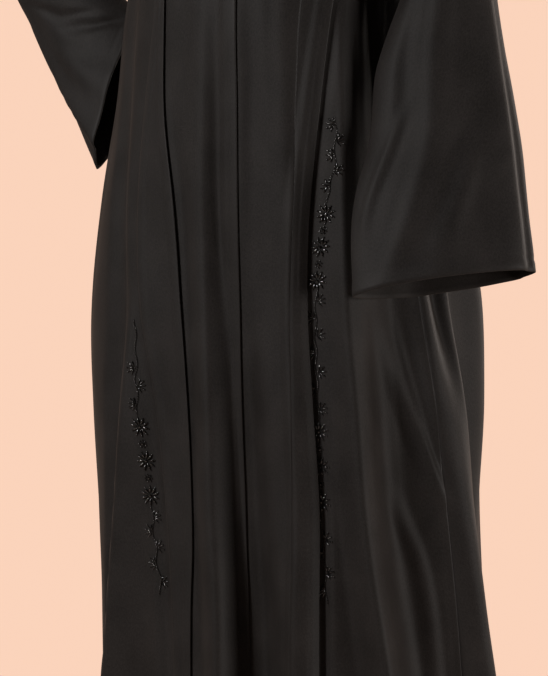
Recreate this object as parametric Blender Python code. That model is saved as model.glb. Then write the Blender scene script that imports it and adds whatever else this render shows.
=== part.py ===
"""A long loose front-wrapping cloak of black crepe, filled out as it is when worn.

Metres, +Z up. The front faces -Y and the wearer's left is +X. The origin lies between the
two points where the shoulder seams meet the neckline, which is where the cloak is carried.
Every piece is a wall of cloth. A body panel is a grid on one shared surface, which is an
oval section at each height with long soft folds added to it, and a sleeve is a tube of rings.
"""

import math

import bpy
import numpy as np

# Driving sizes
CLOTH = 0.0015
SEAM_GAP = 0.0003
HEM_Z = -1.42
ARMPIT_Z = -0.265
CHEST_Z = -0.17

# Neck and shoulders
NECK_HALF_WIDTH = 0.078
NECK_SIDE_Y = 0.005
FRONT_NECK_DROP = 0.085
FRONT_NECK_Y = -0.088
BACK_NECK_DROP = 0.014
BACK_NECK_Y = 0.066
SHOULDER_TIP = (0.200, 0.010, -0.052)
NECK_ANGLE = 38.0
SHOULDER_ANGLE = 64.0
NECK_TURN = math.radians(52)
SHOULDER_TURN = math.radians(80)

# Rows of each panel: below the armpit, beside the armhole, and over the shoulder
ROWS_SKIRT = 12
ROWS_ARMHOLE = 5
ROWS_SHOULDER = 6

# The oval section without folds: half-widths on the wearer's right and left, and depths
SECTION_COLUMNS = ("z", "right", "left", "front", "back")
SECTIONS = (
    (-0.17, 0.178, 0.172, 0.118, 0.110),
    (-0.25, 0.187, 0.166, 0.133, 0.115),
    (-0.33, 0.204, 0.158, 0.145, 0.122),
    (-0.45, 0.218, 0.178, 0.146, 0.140),
    (-0.57, 0.239, 0.200, 0.145, 0.152),
    (-0.69, 0.2545, 0.222, 0.145, 0.160),
    (-0.81, 0.2545, 0.237, 0.147, 0.166),
    (-0.93, 0.247, 0.243, 0.148, 0.170),
    (-1.05, 0.242, 0.250, 0.150, 0.175),
    (-1.17, 0.240, 0.258, 0.152, 0.180),
    (-1.42, 0.246, 0.275, 0.158, 0.190),
)

# Where the panels end, in degrees round the section from the centre front to the wearer's left
EDGE_COLUMNS = (
    "z", "side_right", "slit_right", "tuck_right", "centre", "crease_left", "slit_left", "side_left",
)
EDGES = (
    (-0.17, -90.0, -50.0, -42.0, 0.0, 42.0, 53.0, 90.0),
    (-0.25, -90.0, -41.0, -34.5, 0.0, 34.5, 47.5, 90.0),
    (-0.33, -92.0, -34.6, -29.6, 0.0, 28.6, 42.5, 84.0),
    (-0.45, -95.0, -36.4, -27.4, 0.3, 23.3, 32.8, 74.0),
    (-0.57, -97.0, -35.2, -21.0, 0.3, 20.1, 26.2, 68.0),
    (-0.69, -98.0, -30.8, -16.9, 0.4, 17.6, 22.9, 65.0),
    (-0.81, -98.0, -25.4, -14.2, 0.6, 17.2, 22.7, 66.5),
    (-0.93, -98.0, -22.3, -13.1, 1.3, 17.0, 23.8, 69.0),
    (-1.05, -98.0, -20.3, -13.8, 1.8, 16.6, 23.0, 71.5),
    (-1.17, -98.0, -19.2, -13.6, 2.1, 16.2, 22.4, 73.0),
    (-1.42, -98.0, -18.6, -13.0, 2.3, 15.6, 22.0, 74.0),
)

# How far the edge of an upper layer stands off the layer below it, in metres
LIFT_COLUMNS = ("z", "slit_right", "tuck_right", "centre", "slit_left")
LIFTS = (
    (-0.00, 0.0024, 0.0024, 0.0024, 0.0024),
    (-0.25, 0.0026, 0.0026, 0.0026, 0.0026),
    (-0.45, 0.0030, 0.0060, 0.0030, 0.0060),
    (-0.69, 0.0034, 0.0085, 0.0034, 0.0085),
    (-0.93, 0.0032, 0.0065, 0.0036, 0.0095),
    (-1.42, 0.0032, 0.0060, 0.0040, 0.0090),
)

# Folds: name, reach on either side of the crest in degrees, then the crest's angle in degrees and
# its height in millimetres at each of these levels
FOLD_LEVELS = (-0.20, -0.33, -0.45, -0.57, -0.69, -0.81, -0.93, -1.05, -1.17, -1.42)
FOLDS = (
    ("front_right_ridge", 8.5, 5.0,
     (-15, -13, -12, -10.9, -9.2, -7.4, -6.0, -3.8, -2.6, -1.6), (0, 2, 4, 5, 7, 12, 17, 22, 25, 30)),
    ("centre_valley", 5.5, 9.5,
     (-7, -7, -7, -6.0, -3.2, -1.1, 0.4, 2.6, 3.4, 4.0), (0, 0, -2, -4, -8, -13, -18, -22, -25, -29)),
    ("valley_floor", 5.0, 6.5,
     (4, 4, 4, 3, 2.5, 4.2, 5.6, 7.8, 8.8, 9.4), (0, 0, 0, 0, -2, -5, -8, -9, -10, -12)),
    ("tuck_valley", 3.0, 5.0,
     (-28, -27, -24.5, -18.5, -14.5, -12, -11.2, -11.9, -11.7, -11), (0, 0, -2, -5, -5, -4, -2, -1, 0, 0)),
    ("front_left_hollow", 6.0, 7.0,
     (6, 6, 6.2, 5, 5, 5.5, 6.5, 7, 7, 7), (0, -1, -3, -3, -3, -3, -2, -2, -2, -2)),
    ("front_left_ridge", 8.0, 6.5,
     (22, 21, 19, 17.5, 17, 17.2, 17.4, 17.8, 18, 18), (0, 2, 3, 4, 4, 4, 5, 7, 8, 10)),
    ("slit_left_hollow", 4.5, 5.5,
     (48, 45, 35.5, 28, 24.6, 25.2, 26.3, 25.6, 25, 24.6), (0, -3, -6, -9, -10, -10, -10, -10, -10, -10)),
    ("beaded_ridge_left", 9.0, 9.0,
     (46, 46, 41.5, 37.8, 35.2, 35.9, 37.8, 41, 44.5, 50), (0, 2, 6, 10, 13, 17, 21, 24, 27, 32)),
    ("arm_hollow_left", 15.0, 22.0,
     (60, 62, 60, 57, 54, 52, 53, 56, 60, 65), (0, -7, -17, -21, -23, -22, -21, -19, -17, -15)),
    ("side_ridge_left", 11.0, 10.0,
     (74, 74, 73, 74, 77, 77, 78, 80, 82, 84), (0, 0, -4, -12, -22, -1, 10, 19, 27, 32)),
    ("side_valley_left", 10.0, 15.0,
     (92, 92, 90, 89, 90, 92, 94, 96, 97, 98), (0, -4, -9, -14, -18, -22, -22, -20, -18, -18)),
    ("back_ridge_left", 11.0, 10.0,
     (108, 108, 108, 108, 108, 109, 110, 111, 113, 116), (0, 3, 9, 15, 16, 5, -7, -11, -8, -2)),
    ("back_valley_1", 9.0, 9.0,
     (126, 126, 126, 126, 127, 128, 129, 130, 132, 134), (0, -2, -4, -7, -10, -12, -14, -16, -18, -20)),
    ("back_ridge_1", 10.0, 9.0,
     (140, 140, 141, 142, 143, 144, 145, 146, 147, 148), (0, 2, 4, 6, 9, 11, 13, 15, 17, 20)),
    ("back_valley_2", 9.0, 10.0,
     (160, 160, 159, 159, 158, 158, 158, 158, 159, 160), (0, -1, -3, -5, -8, -10, -12, -14, -15, -17)),
    ("back_ridge_2", 10.0, 11.0,
     (176, 176, 175, 174, 173, 173, 172, 172, 172, 172), (0, 2, 4, 6, 8, 11, 14, 16, 18, 20)),
    ("back_valley_3", 9.0, 9.0,
     (194, 194, 193, 192, 191, 190, 189, 188, 188, 187), (0, -2, -3, -5, -7, -8, -10, -12, -14, -16)),
    ("back_ridge_3", 10.0, 10.0,
     (211, 211, 210, 209, 207, 206, 205, 204, 204, 203), (0, 1, 3, 6, 9, 12, 14, 16, 18, 21)),
    ("back_valley_4", 9.0, 10.0,
     (230, 230, 229, 227, 226, 225, 224, 223, 222, 221), (0, -2, -5, -8, -10, -12, -13, -15, -16, -18)),
    ("back_ridge_4", 10.0, 11.0,
     (246, 246, 246, 245, 244, 243, 242, 241, 240, 239), (0, 2, 5, 8, 9, 10, 11, 12, 14, 17)),
    ("side_valley_right", 9.0, 7.0,
     (-58, -53, -52, -48, -43, -45, -49, -53, -57, -65), (0, -4, -6, -7, -7, -9, -12, -14, -15, -17)),
    ("beaded_ridge_right", 8.0, 15.0,
     (-42, -42, -42, -40, -34.5, -37, -41, -45, -49, -57), (0, 0, 0, 3, 7, 12, 16, 19, 22, 26)),
    ("slit_right_hollow", 5.0, 4.0,
     (-38, -37, -38, -38, -33, -28.5, -25.5, -23.5, -22.4, -22), (0, 0, -1, -2, -3, -4, -5, -6, -6, -6)),
)

# Layers below an edge reach this far past it, in degrees, or this share of the strip over them
UNDERLAP_CENTRE = 3.5
UNDERLAP_SIDE = 5.0
UNDERLAP_SHARE = 0.40
LIFT_FADE = 9.0

# Each panel's number of columns of points
COLUMNS = {
    "back": 36,
    "side_left": 17,
    "side_right": 15,
    "front_left": 17,
    "front_right": 18,
    "strip_left": 5,
    "strip_right": 6,
}

# Sleeve rings after the armhole: the outer and inner ends of each flat section, its half-depth,
# the angle its depth is turned about +Z, and how steeply the depth falls towards the back
SLEEVE_LEFT = (
    ((0.230, 0.004, -0.106), (0.184, -0.004, -0.270), 0.072, 3.0, 0.05),
    ((0.246, -0.001, -0.200), (0.177, -0.030, -0.300), 0.061, 9.0, 0.12),
    ((0.264, -0.010, -0.300), (0.165, -0.058, -0.350), 0.051, 15.0, 0.20),
    ((0.281, -0.018, -0.395), (0.151, -0.087, -0.419), 0.044, 20.0, 0.26),
    ((0.304, -0.030, -0.490), (0.150, -0.106, -0.503), 0.039, 23.0, 0.30),
    ((0.322, -0.049, -0.573), (0.141, -0.136, -0.589), 0.035, 25.0, 0.32),
    ((0.3365, -0.064, -0.654), (0.150, -0.153, -0.682), 0.032, 25.0, 0.32),
)
SLEEVE_RIGHT = (
    ((-0.262, 0.022, -0.092), (-0.214, 0.012, -0.258), 0.070, 0.0, 0.00),
    ((-0.334, 0.046, -0.140), (-0.244, 0.030, -0.258), 0.058, -2.0, 0.05),
    ((-0.400, 0.068, -0.205), (-0.268, 0.046, -0.266), 0.049, -4.0, 0.10),
    ((-0.424, 0.080, -0.280), (-0.276, 0.056, -0.288), 0.043, -6.0, 0.15),
    ((-0.386, 0.071, -0.350), (-0.266, 0.062, -0.308), 0.037, -8.0, 0.20),
    ((-0.335, 0.053, -0.435), (-0.247, 0.066, -0.324), 0.031, -9.0, 0.22),
    ((-0.272, 0.021, -0.530), (-0.228, 0.068, -0.337), 0.026, -9.5, 0.22),
)
RING_POINTS = 2 * (ROWS_ARMHOLE + ROWS_SHOULDER)
RINGS_PER_STATION = 2
FLATNESS = 0.82
ARMHOLE_FADE = 1.2
ARMHOLE_GAP = 0.0007

CREPE = {"color": (0.013, 0.012, 0.011, 1.0), "roughness": 0.72, "metallic": 0.0}


def column(table, names, name):
    """One named column of a table as an array."""
    return np.array([row[names.index(name)] for row in table], float)


def smooth(xs, ys, x):
    """A curve through the points (xs, ys) with no sharp turn at them, read at x. xs falls or rises."""
    xs, ys = np.asarray(xs, float), np.asarray(ys, float)
    if xs[0] > xs[-1]:
        xs, ys = xs[::-1], ys[::-1]
    steps = np.diff(xs)
    chords = (np.diff(ys, axis=0).T / steps).T
    inner = 0.5 * (chords[1:] + chords[:-1])
    slopes = np.concatenate([chords[:1], inner, chords[-1:]])
    x = np.clip(np.asarray(x, float), xs[0], xs[-1])
    k = np.clip(np.searchsorted(xs, x, side="right") - 1, 0, len(steps) - 1)
    width = steps[k]
    s = (x - xs[k]) / width
    if ys.ndim > 1:
        s, width = s[..., None], width[..., None]
    return (
        (2 * s**3 - 3 * s**2 + 1) * ys[k]
        + (s**3 - 2 * s**2 + s) * width * slopes[k]
        + (3 * s**2 - 2 * s**3) * ys[k + 1]
        + (s**3 - s**2) * width * slopes[k + 1]
    )


def edge_angle(name, z):
    """Angle of a named panel edge at height z, in degrees."""
    return smooth(column(EDGES, EDGE_COLUMNS, "z"), column(EDGES, EDGE_COLUMNS, name), z)


def edge_lift(name, z):
    """How far a named edge stands off at height z."""
    return smooth(column(LIFTS, LIFT_COLUMNS, "z"), column(LIFTS, LIFT_COLUMNS, name), z)


def ease(x):
    """0 below 0, 1 above 1, and a soft step between."""
    x = np.clip(x, 0, 1)
    return x * x * (3 - 2 * x)


def section_size(name, z):
    return smooth(column(SECTIONS, SECTION_COLUMNS, "z"), column(SECTIONS, SECTION_COLUMNS, name), z)


def fold_offset(angle, z):
    """Sum of the folds at an angle in degrees and a height. A fold is a raised cosine on either side
    of its crest."""
    total = np.zeros(np.broadcast(angle, z).shape)
    for _, before, after, angles, heights in FOLDS:
        crest = smooth(FOLD_LEVELS, angles, z)
        height = smooth(FOLD_LEVELS, heights, z) / 1000
        away = (angle - crest + 180) % 360 - 180
        reach = np.where(away < 0, before, after)
        total = total + height * 0.5 * (1 + np.cos(math.pi * np.clip(np.abs(away) / reach, 0, 1)))
    return total


def section_point(angle, z):
    """A point of the section at height z: the oval, moved out by the folds."""
    turn = np.radians(angle)
    s, c = np.sin(turn), np.cos(turn)
    wide = np.where(s >= 0, section_size("left", z), section_size("right", z))
    deep = np.where(c >= 0, section_size("front", z), section_size("back", z))
    normal = np.stack([s / wide, -c / deep], -1)
    normal /= np.linalg.norm(normal, axis=-1, keepdims=True)
    out = fold_offset(angle, z)
    return np.stack([wide * s + out * normal[..., 0], -deep * c + out * normal[..., 1], z + 0 * s], -1)


def top_point(angle):
    """Where a column of the cloth ends: on the neckline near the centre, else on the shoulder seam."""
    away = (angle + 180) % 360 - 180
    side = np.sign(away) + (away == 0)
    back = np.abs(away) > 90
    share = np.where(back, 180 - np.abs(away), np.abs(away))
    round_neck = np.radians(90 * np.clip(share / NECK_ANGLE, 0, 1))
    drop = np.where(back, BACK_NECK_DROP, FRONT_NECK_DROP)
    reach = np.where(back, BACK_NECK_Y, FRONT_NECK_Y) - NECK_SIDE_Y
    neck = np.stack([
        side * NECK_HALF_WIDTH * np.sin(round_neck),
        NECK_SIDE_Y + reach * np.cos(round_neck),
        -drop * np.cos(round_neck),
    ], -1)
    out = np.clip((share - NECK_ANGLE) / (SHOULDER_ANGLE - NECK_ANGLE), 0, 1)[..., None]
    corner = np.stack([side * NECK_HALF_WIDTH, NECK_SIDE_Y + 0 * side, 0 * side], -1)
    tip = np.stack([side * SHOULDER_TIP[0], SHOULDER_TIP[1] + 0 * side, SHOULDER_TIP[2] + 0 * side], -1)
    seam = corner + out * (tip - corner)
    seam[..., 1] += np.where(back, 1, -1) * SEAM_GAP
    return np.where((share < NECK_ANGLE)[..., None], neck, seam)


def cloth_point(angle, level):
    """A point of the body's shared surface. level is a height up to the chest, and above it the chest
    height plus a share from 0 to 1 of the way over the shoulder."""
    z = np.minimum(level, CHEST_Z)
    over = np.clip(level - CHEST_Z, 0, 1)
    chest = section_point(angle, z)
    top = top_point(angle)
    away = np.abs((angle + 180) % 360 - 180)
    share = np.minimum(away, 180 - away)
    most = NECK_TURN + (SHOULDER_TURN - NECK_TURN) * ease(share / NECK_ANGLE)
    turn = over * most
    inward = ((1 - np.cos(turn)) / (1 - np.cos(most)))[..., None]
    rise = np.sin(turn) / np.sin(most)
    flat = chest[..., :2] + inward * (top[..., :2] - chest[..., :2])
    height = z + rise * (top[..., 2] - z)
    return np.concatenate([flat, height[..., None]], -1)


def levels():
    """The rows of a body panel, from the hem to the neck or shoulder."""
    skirt = np.linspace(HEM_Z, ARMPIT_Z, ROWS_SKIRT)
    beside = np.linspace(ARMPIT_Z, CHEST_Z, ROWS_ARMHOLE + 1)[1:]
    over = CHEST_Z + np.linspace(0, 1, ROWS_SHOULDER + 1)[1:]
    return np.concatenate([skirt, beside, over])


def armhole_angle(level):
    """Angle from the side line to the armhole's edge: 0 at the armpit and widest at the chest."""
    climb = np.clip((level - ARMPIT_Z) / (CHEST_Z - ARMPIT_Z), 0, 1)
    return (90 - SHOULDER_ANGLE) * np.sin(climb * math.pi / 2) ** 0.8


def half_seam(z):
    """Half the gap at a butted seam, as an angle in degrees on a section of mean size."""
    return math.degrees(0.5 * SEAM_GAP / 0.17) + 0 * z


def panel_edges(name, level):
    """First and last angle of a panel on each row."""
    z = np.minimum(level, CHEST_Z)
    edge = {n: edge_angle(n, z) for n in EDGE_COLUMNS[1:]}
    hole, gap = armhole_angle(level), half_seam(z)
    under_right = np.minimum(UNDERLAP_SIDE, UNDERLAP_SHARE * (edge["tuck_right"] - edge["slit_right"]))
    under_left = np.minimum(UNDERLAP_SIDE, 2 * UNDERLAP_SHARE * (edge["slit_left"] - edge["crease_left"]))
    return {
        "back": (edge["side_left"] + hole + gap, 360 + edge["side_right"] - hole - gap),
        "side_left": (edge["slit_left"] - under_left, edge["side_left"] - hole - gap),
        "strip_left": (edge["crease_left"] + gap, edge["slit_left"]),
        "front_left": (edge["centre"] - UNDERLAP_CENTRE, edge["crease_left"] - gap),
        "front_right": (edge["tuck_right"] - under_right, edge["centre"]),
        "strip_right": (edge["slit_right"], edge["tuck_right"]),
        "side_right": (edge["side_right"] + hole + gap, edge["slit_right"] + under_right),
    }[name]


def panel_lift(name, angle, level):
    """How far a panel stands off the shared surface, so that its free edges lie over their neighbours."""
    z = np.where(level > CHEST_Z, CHEST_Z * (1 - np.clip(level - CHEST_Z, 0, 1)), level)
    low = np.minimum(level, CHEST_Z)
    if name in ("front_left", "strip_left"):
        near = ease((LIFT_FADE - (edge_angle("slit_left", low) - angle)) / (LIFT_FADE - UNDERLAP_SIDE))
        return edge_lift("slit_left", z) * near
    if name == "front_right":
        near = ease((2 * UNDERLAP_CENTRE - (edge_angle("centre", low) - angle)) / UNDERLAP_CENTRE)
        return edge_lift("centre", z) * near
    if name == "strip_right":
        first, last = edge_angle("slit_right", low), edge_angle("tuck_right", low)
        share = (angle - first) / (last - first)
        slit, tuck = edge_lift("slit_right", z), edge_lift("tuck_right", z)
        return slit + ease(share) * (tuck - slit)
    return np.zeros(np.broadcast(angle, level).shape)


def panel_places(name):
    """The angle and level of each point of a panel, rows from the hem up, columns towards the left."""
    level = levels()[:, None]
    first, last = panel_edges(name, level)
    angle = first + np.linspace(0, 1, COLUMNS[name])[None, :] * (last - first)
    return angle, level + 0 * angle


def panel_normals(name):
    """Unit normals of the shared surface at a panel's points, upright along a shoulder seam."""
    angle, level = panel_places(name)
    across = cloth_point(angle + 0.5, level) - cloth_point(angle - 0.5, level)
    normals = np.cross(across, cloth_point(angle, level + 0.01) - cloth_point(angle, level - 0.01))
    away = np.abs((angle[-1] + 180) % 360 - 180)
    on_seam = np.minimum(away, 180 - away) >= NECK_ANGLE - 1
    normals[-1, on_seam, 1] = 0
    return normals / np.linalg.norm(normals, axis=-1, keepdims=True)


def panel_grid(name):
    """The outer points of a panel: the shared surface moved out by the panel's lift."""
    angle, level = panel_places(name)
    return cloth_point(angle, level) + panel_lift(name, angle, level)[..., None] * panel_normals(name)


def ring_normals(grid):
    """Unit normals of a tube's grid, facing to the right of the way up its columns."""
    across = np.roll(grid, -1, 1) - np.roll(grid, 1, 1)
    normals = np.cross(across, np.gradient(grid, axis=0))
    return normals / np.linalg.norm(normals, axis=-1, keepdims=True)


def wall_mesh(name, outer, inner, closed):
    """A closed wall between two grids of points. A tube's columns join up, and a panel's stop at
    its sides."""
    rows, columns = outer.shape[:2]
    points = np.concatenate([outer.reshape(-1, 3), inner.reshape(-1, 3)])
    layer = rows * columns
    faces = []
    for r in range(rows - 1):
        for c in range(columns if closed else columns - 1):
            d = (c + 1) % columns
            a, b = r * columns + c, r * columns + d
            up_a, up_b = a + columns, b + columns
            faces.append((a, b, up_b, up_a))
            faces.append((layer + a, layer + up_a, layer + up_b, layer + b))
    for c in range(columns if closed else columns - 1):
        d = (c + 1) % columns
        top = (rows - 1) * columns
        faces.append((c, layer + c, layer + d, d))
        faces.append((top + c, top + d, layer + top + d, layer + top + c))
    if not closed:
        for r in range(rows - 1):
            a, b = r * columns, (r + 1) * columns
            end_a, end_b = a + columns - 1, b + columns - 1
            faces.append((a, b, layer + b, layer + a))
            faces.append((end_a, layer + end_a, layer + end_b, end_b))
    mesh = bpy.data.meshes.new(name)
    mesh.from_pydata(points.tolist(), [], faces)
    mesh.validate()
    mesh.shade_smooth()
    mesh.set_sharp_from_angle(angle=math.radians(50))
    return mesh


def add_piece(name, outer, normals, closed):
    """One piece of cloth as a named object of its own."""
    inner = outer - CLOTH * normals
    piece = bpy.data.objects.new(name, wall_mesh(name, outer, inner, closed))
    bpy.context.scene.collection.objects.link(piece)
    piece.data.materials.append(crepe(name + "_crepe"))
    return piece


def crepe(name):
    """The cloth's plain material."""
    material = bpy.data.materials.new(name)
    material.use_nodes = True
    shader = material.node_tree.nodes["Principled BSDF"]
    shader.inputs["Base Color"].default_value = CREPE["color"]
    shader.inputs["Roughness"].default_value = CREPE["roughness"]
    shader.inputs["Metallic"].default_value = CREPE["metallic"]
    return material


def armhole_ring(side):
    """The armhole's edge as a ring set just clear of the body's cloth, with the cloth's normals and
    the way out of the cloth there. It goes from the shoulder tip down the front and up the back."""
    fronts, last = "side_left" if side > 0 else "side_right", -1 if side > 0 else 0
    rows = slice(ROWS_SKIRT - 1, None)
    front, back = panel_grid(fronts)[rows, last], panel_grid("back")[rows, -1 - last]
    front_facing, back_facing = panel_normals(fronts)[rows, last], panel_normals("back")[rows, -1 - last]
    edge = np.concatenate([front[::-1], back[1:-1]])
    edge[0] = (front[-1] + back[-1]) / 2
    facing = np.concatenate([front_facing[::-1], back_facing[1:-1]])
    away = side * np.cross(facing, np.roll(edge, -1, 0) - np.roll(edge, 1, 0))
    away /= np.linalg.norm(away, axis=-1, keepdims=True)
    return edge + ARMHOLE_GAP * away, facing, away


def sleeve_ring(outer, inner, half_depth, turn, fall):
    """A flattened ring: a lens between its outer and inner ends. Its depth is square to the line
    between them. The first point is the outer end, and the ring goes round by the front."""
    way = np.linspace(0, 2 * math.pi, RING_POINTS, endpoint=False)
    centre, half = (outer + inner) / 2, (outer - inner) / 2
    depth = np.array([math.sin(math.radians(turn)), -math.cos(math.radians(turn)), fall])
    depth -= half * (depth @ half) / (half @ half)
    depth *= half_depth / np.linalg.norm(depth)
    long = np.sign(np.cos(way)) * np.abs(np.cos(way)) ** FLATNESS
    return centre + long[:, None] * half + np.sin(way)[:, None] * depth


def sleeve_grid(side, stations, first):
    """A sleeve's outer points, rings from the armhole to the wrist."""
    lower = RING_POINTS // 2
    start_depth = 0.5 * np.linalg.norm(first[RING_POINTS // 4] - first[lower + RING_POINTS // 4])
    outer_ends = np.array([first[0]] + [row[0] for row in stations])
    inner_ends = np.array([first[lower]] + [row[1] for row in stations])
    sizes = np.array([(start_depth, 0.0, 0.0)] + [row[2:] for row in stations])
    count = len(stations)
    place = np.arange(count + 1, dtype=float)
    down = first[lower] - first[0]
    share = ((first - first[0]) @ down / (down @ down))[:, None]
    rings = [first]
    for wanted in np.linspace(0, count, count * RINGS_PER_STATION + 1)[1:]:
        outer, inner = smooth(place, outer_ends, wanted), smooth(place, inner_ends, wanted)
        ring = sleeve_ring(outer, inner, *smooth(place, sizes, wanted))
        keep = ease(1 - wanted / ARMHOLE_FADE)
        carried = first + (1 - share) * (outer - first[0]) + share * (inner - first[lower])
        rings.append(ring + keep * (carried - ring))
    return np.array(rings)


def add_sleeve(name, side, stations):
    """A sleeve. Its wall at the armhole leans as it has to, so that it stays clear of the body's cloth."""
    first, facing, away = armhole_ring(side)
    grid = sleeve_grid(side, stations, first)[::-1, ::-side]
    normals = ring_normals(grid)
    facing, away = facing[::-side], away[::-side]
    along_facing = np.clip((normals[-1] * facing).sum(-1, keepdims=True), 0, None)
    along_away = np.clip((normals[-1] * away).sum(-1, keepdims=True), None, 0)
    lean = along_facing * facing + along_away * away
    normals[-1] = lean / np.linalg.norm(lean, axis=-1, keepdims=True)
    return add_piece(name, grid, normals, closed=True)


def clear_scene():
    for item in list(bpy.data.objects):
        bpy.data.objects.remove(item)


def main():
    clear_scene()
    for name in COLUMNS:
        add_piece(name, panel_grid(name), panel_normals(name), closed=False)
    add_sleeve("sleeve_left", 1, SLEEVE_LEFT)
    add_sleeve("sleeve_right", -1, SLEEVE_RIGHT)


main()
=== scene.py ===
"""The looks of a long black crepe cloak with beaded side cloths, standing as it does when worn.

Metres, +Z up, the front faces -Y and the wearer's left is +X, as in the part's frame. Every piece
of cloth is a thin closed wall worked out from two parameters, and stands for the part's plain node.
"""

import math

import bpy
import numpy as np
from mathutils import Matrix, Vector


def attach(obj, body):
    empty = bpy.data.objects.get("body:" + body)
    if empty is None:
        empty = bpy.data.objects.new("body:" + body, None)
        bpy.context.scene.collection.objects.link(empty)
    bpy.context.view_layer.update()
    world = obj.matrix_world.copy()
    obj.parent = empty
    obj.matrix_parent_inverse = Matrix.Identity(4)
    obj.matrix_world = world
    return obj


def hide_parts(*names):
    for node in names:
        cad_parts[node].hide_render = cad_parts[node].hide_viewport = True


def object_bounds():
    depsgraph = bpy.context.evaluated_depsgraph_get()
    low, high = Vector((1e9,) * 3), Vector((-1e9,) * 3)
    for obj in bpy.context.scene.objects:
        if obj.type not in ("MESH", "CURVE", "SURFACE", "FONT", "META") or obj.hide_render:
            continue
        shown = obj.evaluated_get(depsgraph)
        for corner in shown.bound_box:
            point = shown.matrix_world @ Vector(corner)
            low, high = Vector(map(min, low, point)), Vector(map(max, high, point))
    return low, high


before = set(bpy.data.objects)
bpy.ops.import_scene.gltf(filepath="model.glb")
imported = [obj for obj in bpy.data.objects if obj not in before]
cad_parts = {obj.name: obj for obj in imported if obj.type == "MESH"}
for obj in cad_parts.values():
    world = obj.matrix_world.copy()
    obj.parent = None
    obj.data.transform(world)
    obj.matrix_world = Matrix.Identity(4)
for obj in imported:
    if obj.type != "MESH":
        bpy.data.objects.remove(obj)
cad_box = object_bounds()

# Camera: a long lens at hip height, turned towards the wearer's left and looking slightly down,
# so that the picture runs from just under the shoulders to just above the hem.
CAMERA_TURN = math.radians(25)
CAMERA_RISE = math.radians(2)
CAMERA_FAR = 3.6
FRAME_HEIGHT_PX = 676
FOCAL_LENGTH_PX = 3000
AIM_TO_THE_RIGHT = -0.018
AIM_HEIGHT = -0.7356

to_right = Vector((math.cos(CAMERA_TURN), math.sin(CAMERA_TURN), 0))
to_camera = Vector((
    math.sin(CAMERA_TURN) * math.cos(CAMERA_RISE),
    -math.cos(CAMERA_TURN) * math.cos(CAMERA_RISE),
    math.sin(CAMERA_RISE),
))
to_top = to_camera.cross(to_right)
aim = AIM_TO_THE_RIGHT * to_right + Vector((0, 0, AIM_HEIGHT))
lens = bpy.data.cameras.new("camera")
lens.sensor_fit = "AUTO"
lens.sensor_width = 36
lens.lens = lens.sensor_width * FOCAL_LENGTH_PX / FRAME_HEIGHT_PX
camera = bpy.data.objects.new("camera", lens)
bpy.context.scene.collection.objects.link(camera)
camera_axes = Matrix((to_right, to_top, to_camera)).transposed().to_4x4()
camera.matrix_world = Matrix.Translation(aim + CAMERA_FAR * to_camera) @ camera_axes
bpy.context.scene.camera = camera

# Studio: a peach backdrop all round, whose light is next to nothing from the camera's side and full
# from behind, a key light to the camera's left, one to its right, a weak one far to the left, a rim
# light from behind on the right, and a pale floor that fades out round the hem.
BACKDROP = (0.965, 0.655, 0.50, 1)
BACKDROP_LIGHT_FROM_FRONT = 0.02
BACKDROP_LIGHT_FROM_BEHIND = 0.70
BACKDROP_GROWS_FROM, BACKDROP_GROWS_TO = -0.1, 0.9
FLOOR_Z = cad_box[0].z - 0.002
FLOOR_RADIUS = 2.2
FLOOR_COLOR = (0.80, 0.66, 0.57, 1)
FLOOR_FADE_FROM = 0.75
FLOOR_FADE_TO = 1.9
# Name, turn to the camera's right and rise in degrees, distance, width, watts, colour
LIGHTS = (
    ("key_light", -51, 24, 3.2, 0.7, 70, (1.0, 0.97, 0.95)),
    ("right_light", 62, -2, 3.2, 0.8, 54, (1.0, 0.95, 0.91)),
    ("left_light", -100, 15, 2.8, 1.2, 5, (1.0, 0.95, 0.90)),
    ("rim_light", 118, 12, 2.8, 1.2, 26, (1.0, 0.94, 0.88)),
)

bpy.context.scene.view_settings.view_transform = "Standard"
studio = bpy.data.worlds.new("studio")
studio.use_nodes = True
nodes, links = studio.node_tree.nodes, studio.node_tree.links
seen = nodes["Background"]
seen.inputs["Color"].default_value = BACKDROP
lighting = nodes.new("ShaderNodeBackground")
lighting.inputs["Color"].default_value = BACKDROP
direction = nodes.new("ShaderNodeTexCoord")
front_to_back = nodes.new("ShaderNodeSeparateXYZ")
strength = nodes.new("ShaderNodeMapRange")
strength.inputs["From Min"].default_value = BACKDROP_GROWS_FROM
strength.inputs["From Max"].default_value = BACKDROP_GROWS_TO
strength.inputs["To Min"].default_value = BACKDROP_LIGHT_FROM_FRONT
strength.inputs["To Max"].default_value = BACKDROP_LIGHT_FROM_BEHIND
ray = nodes.new("ShaderNodeLightPath")
either = nodes.new("ShaderNodeMixShader")
links.new(direction.outputs["Generated"], front_to_back.inputs["Vector"])
links.new(front_to_back.outputs["Y"], strength.inputs["Value"])
links.new(strength.outputs["Result"], lighting.inputs["Strength"])
links.new(ray.outputs["Is Camera Ray"], either.inputs["Fac"])
links.new(lighting.outputs["Background"], either.inputs[1])
links.new(seen.outputs["Background"], either.inputs[2])
links.new(either.outputs["Shader"], nodes["World Output"].inputs["Surface"])
bpy.context.scene.world = studio

for name, turn, rise, far, width, watts, color in LIGHTS:
    turn, rise = math.radians(turn), math.radians(rise)
    level_way = math.sin(turn) * to_right + math.cos(turn) * to_camera
    lamp = bpy.data.lights.new(name, "AREA")
    lamp.size = width
    lamp.energy = watts
    lamp.color = color
    light = bpy.data.objects.new(name, lamp)
    light.location = aim + far * (math.cos(rise) * level_way + math.sin(rise) * to_top)
    light.rotation_euler = (aim - light.location).to_track_quat("-Z", "Y").to_euler()
    bpy.context.scene.collection.objects.link(light)

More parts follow.
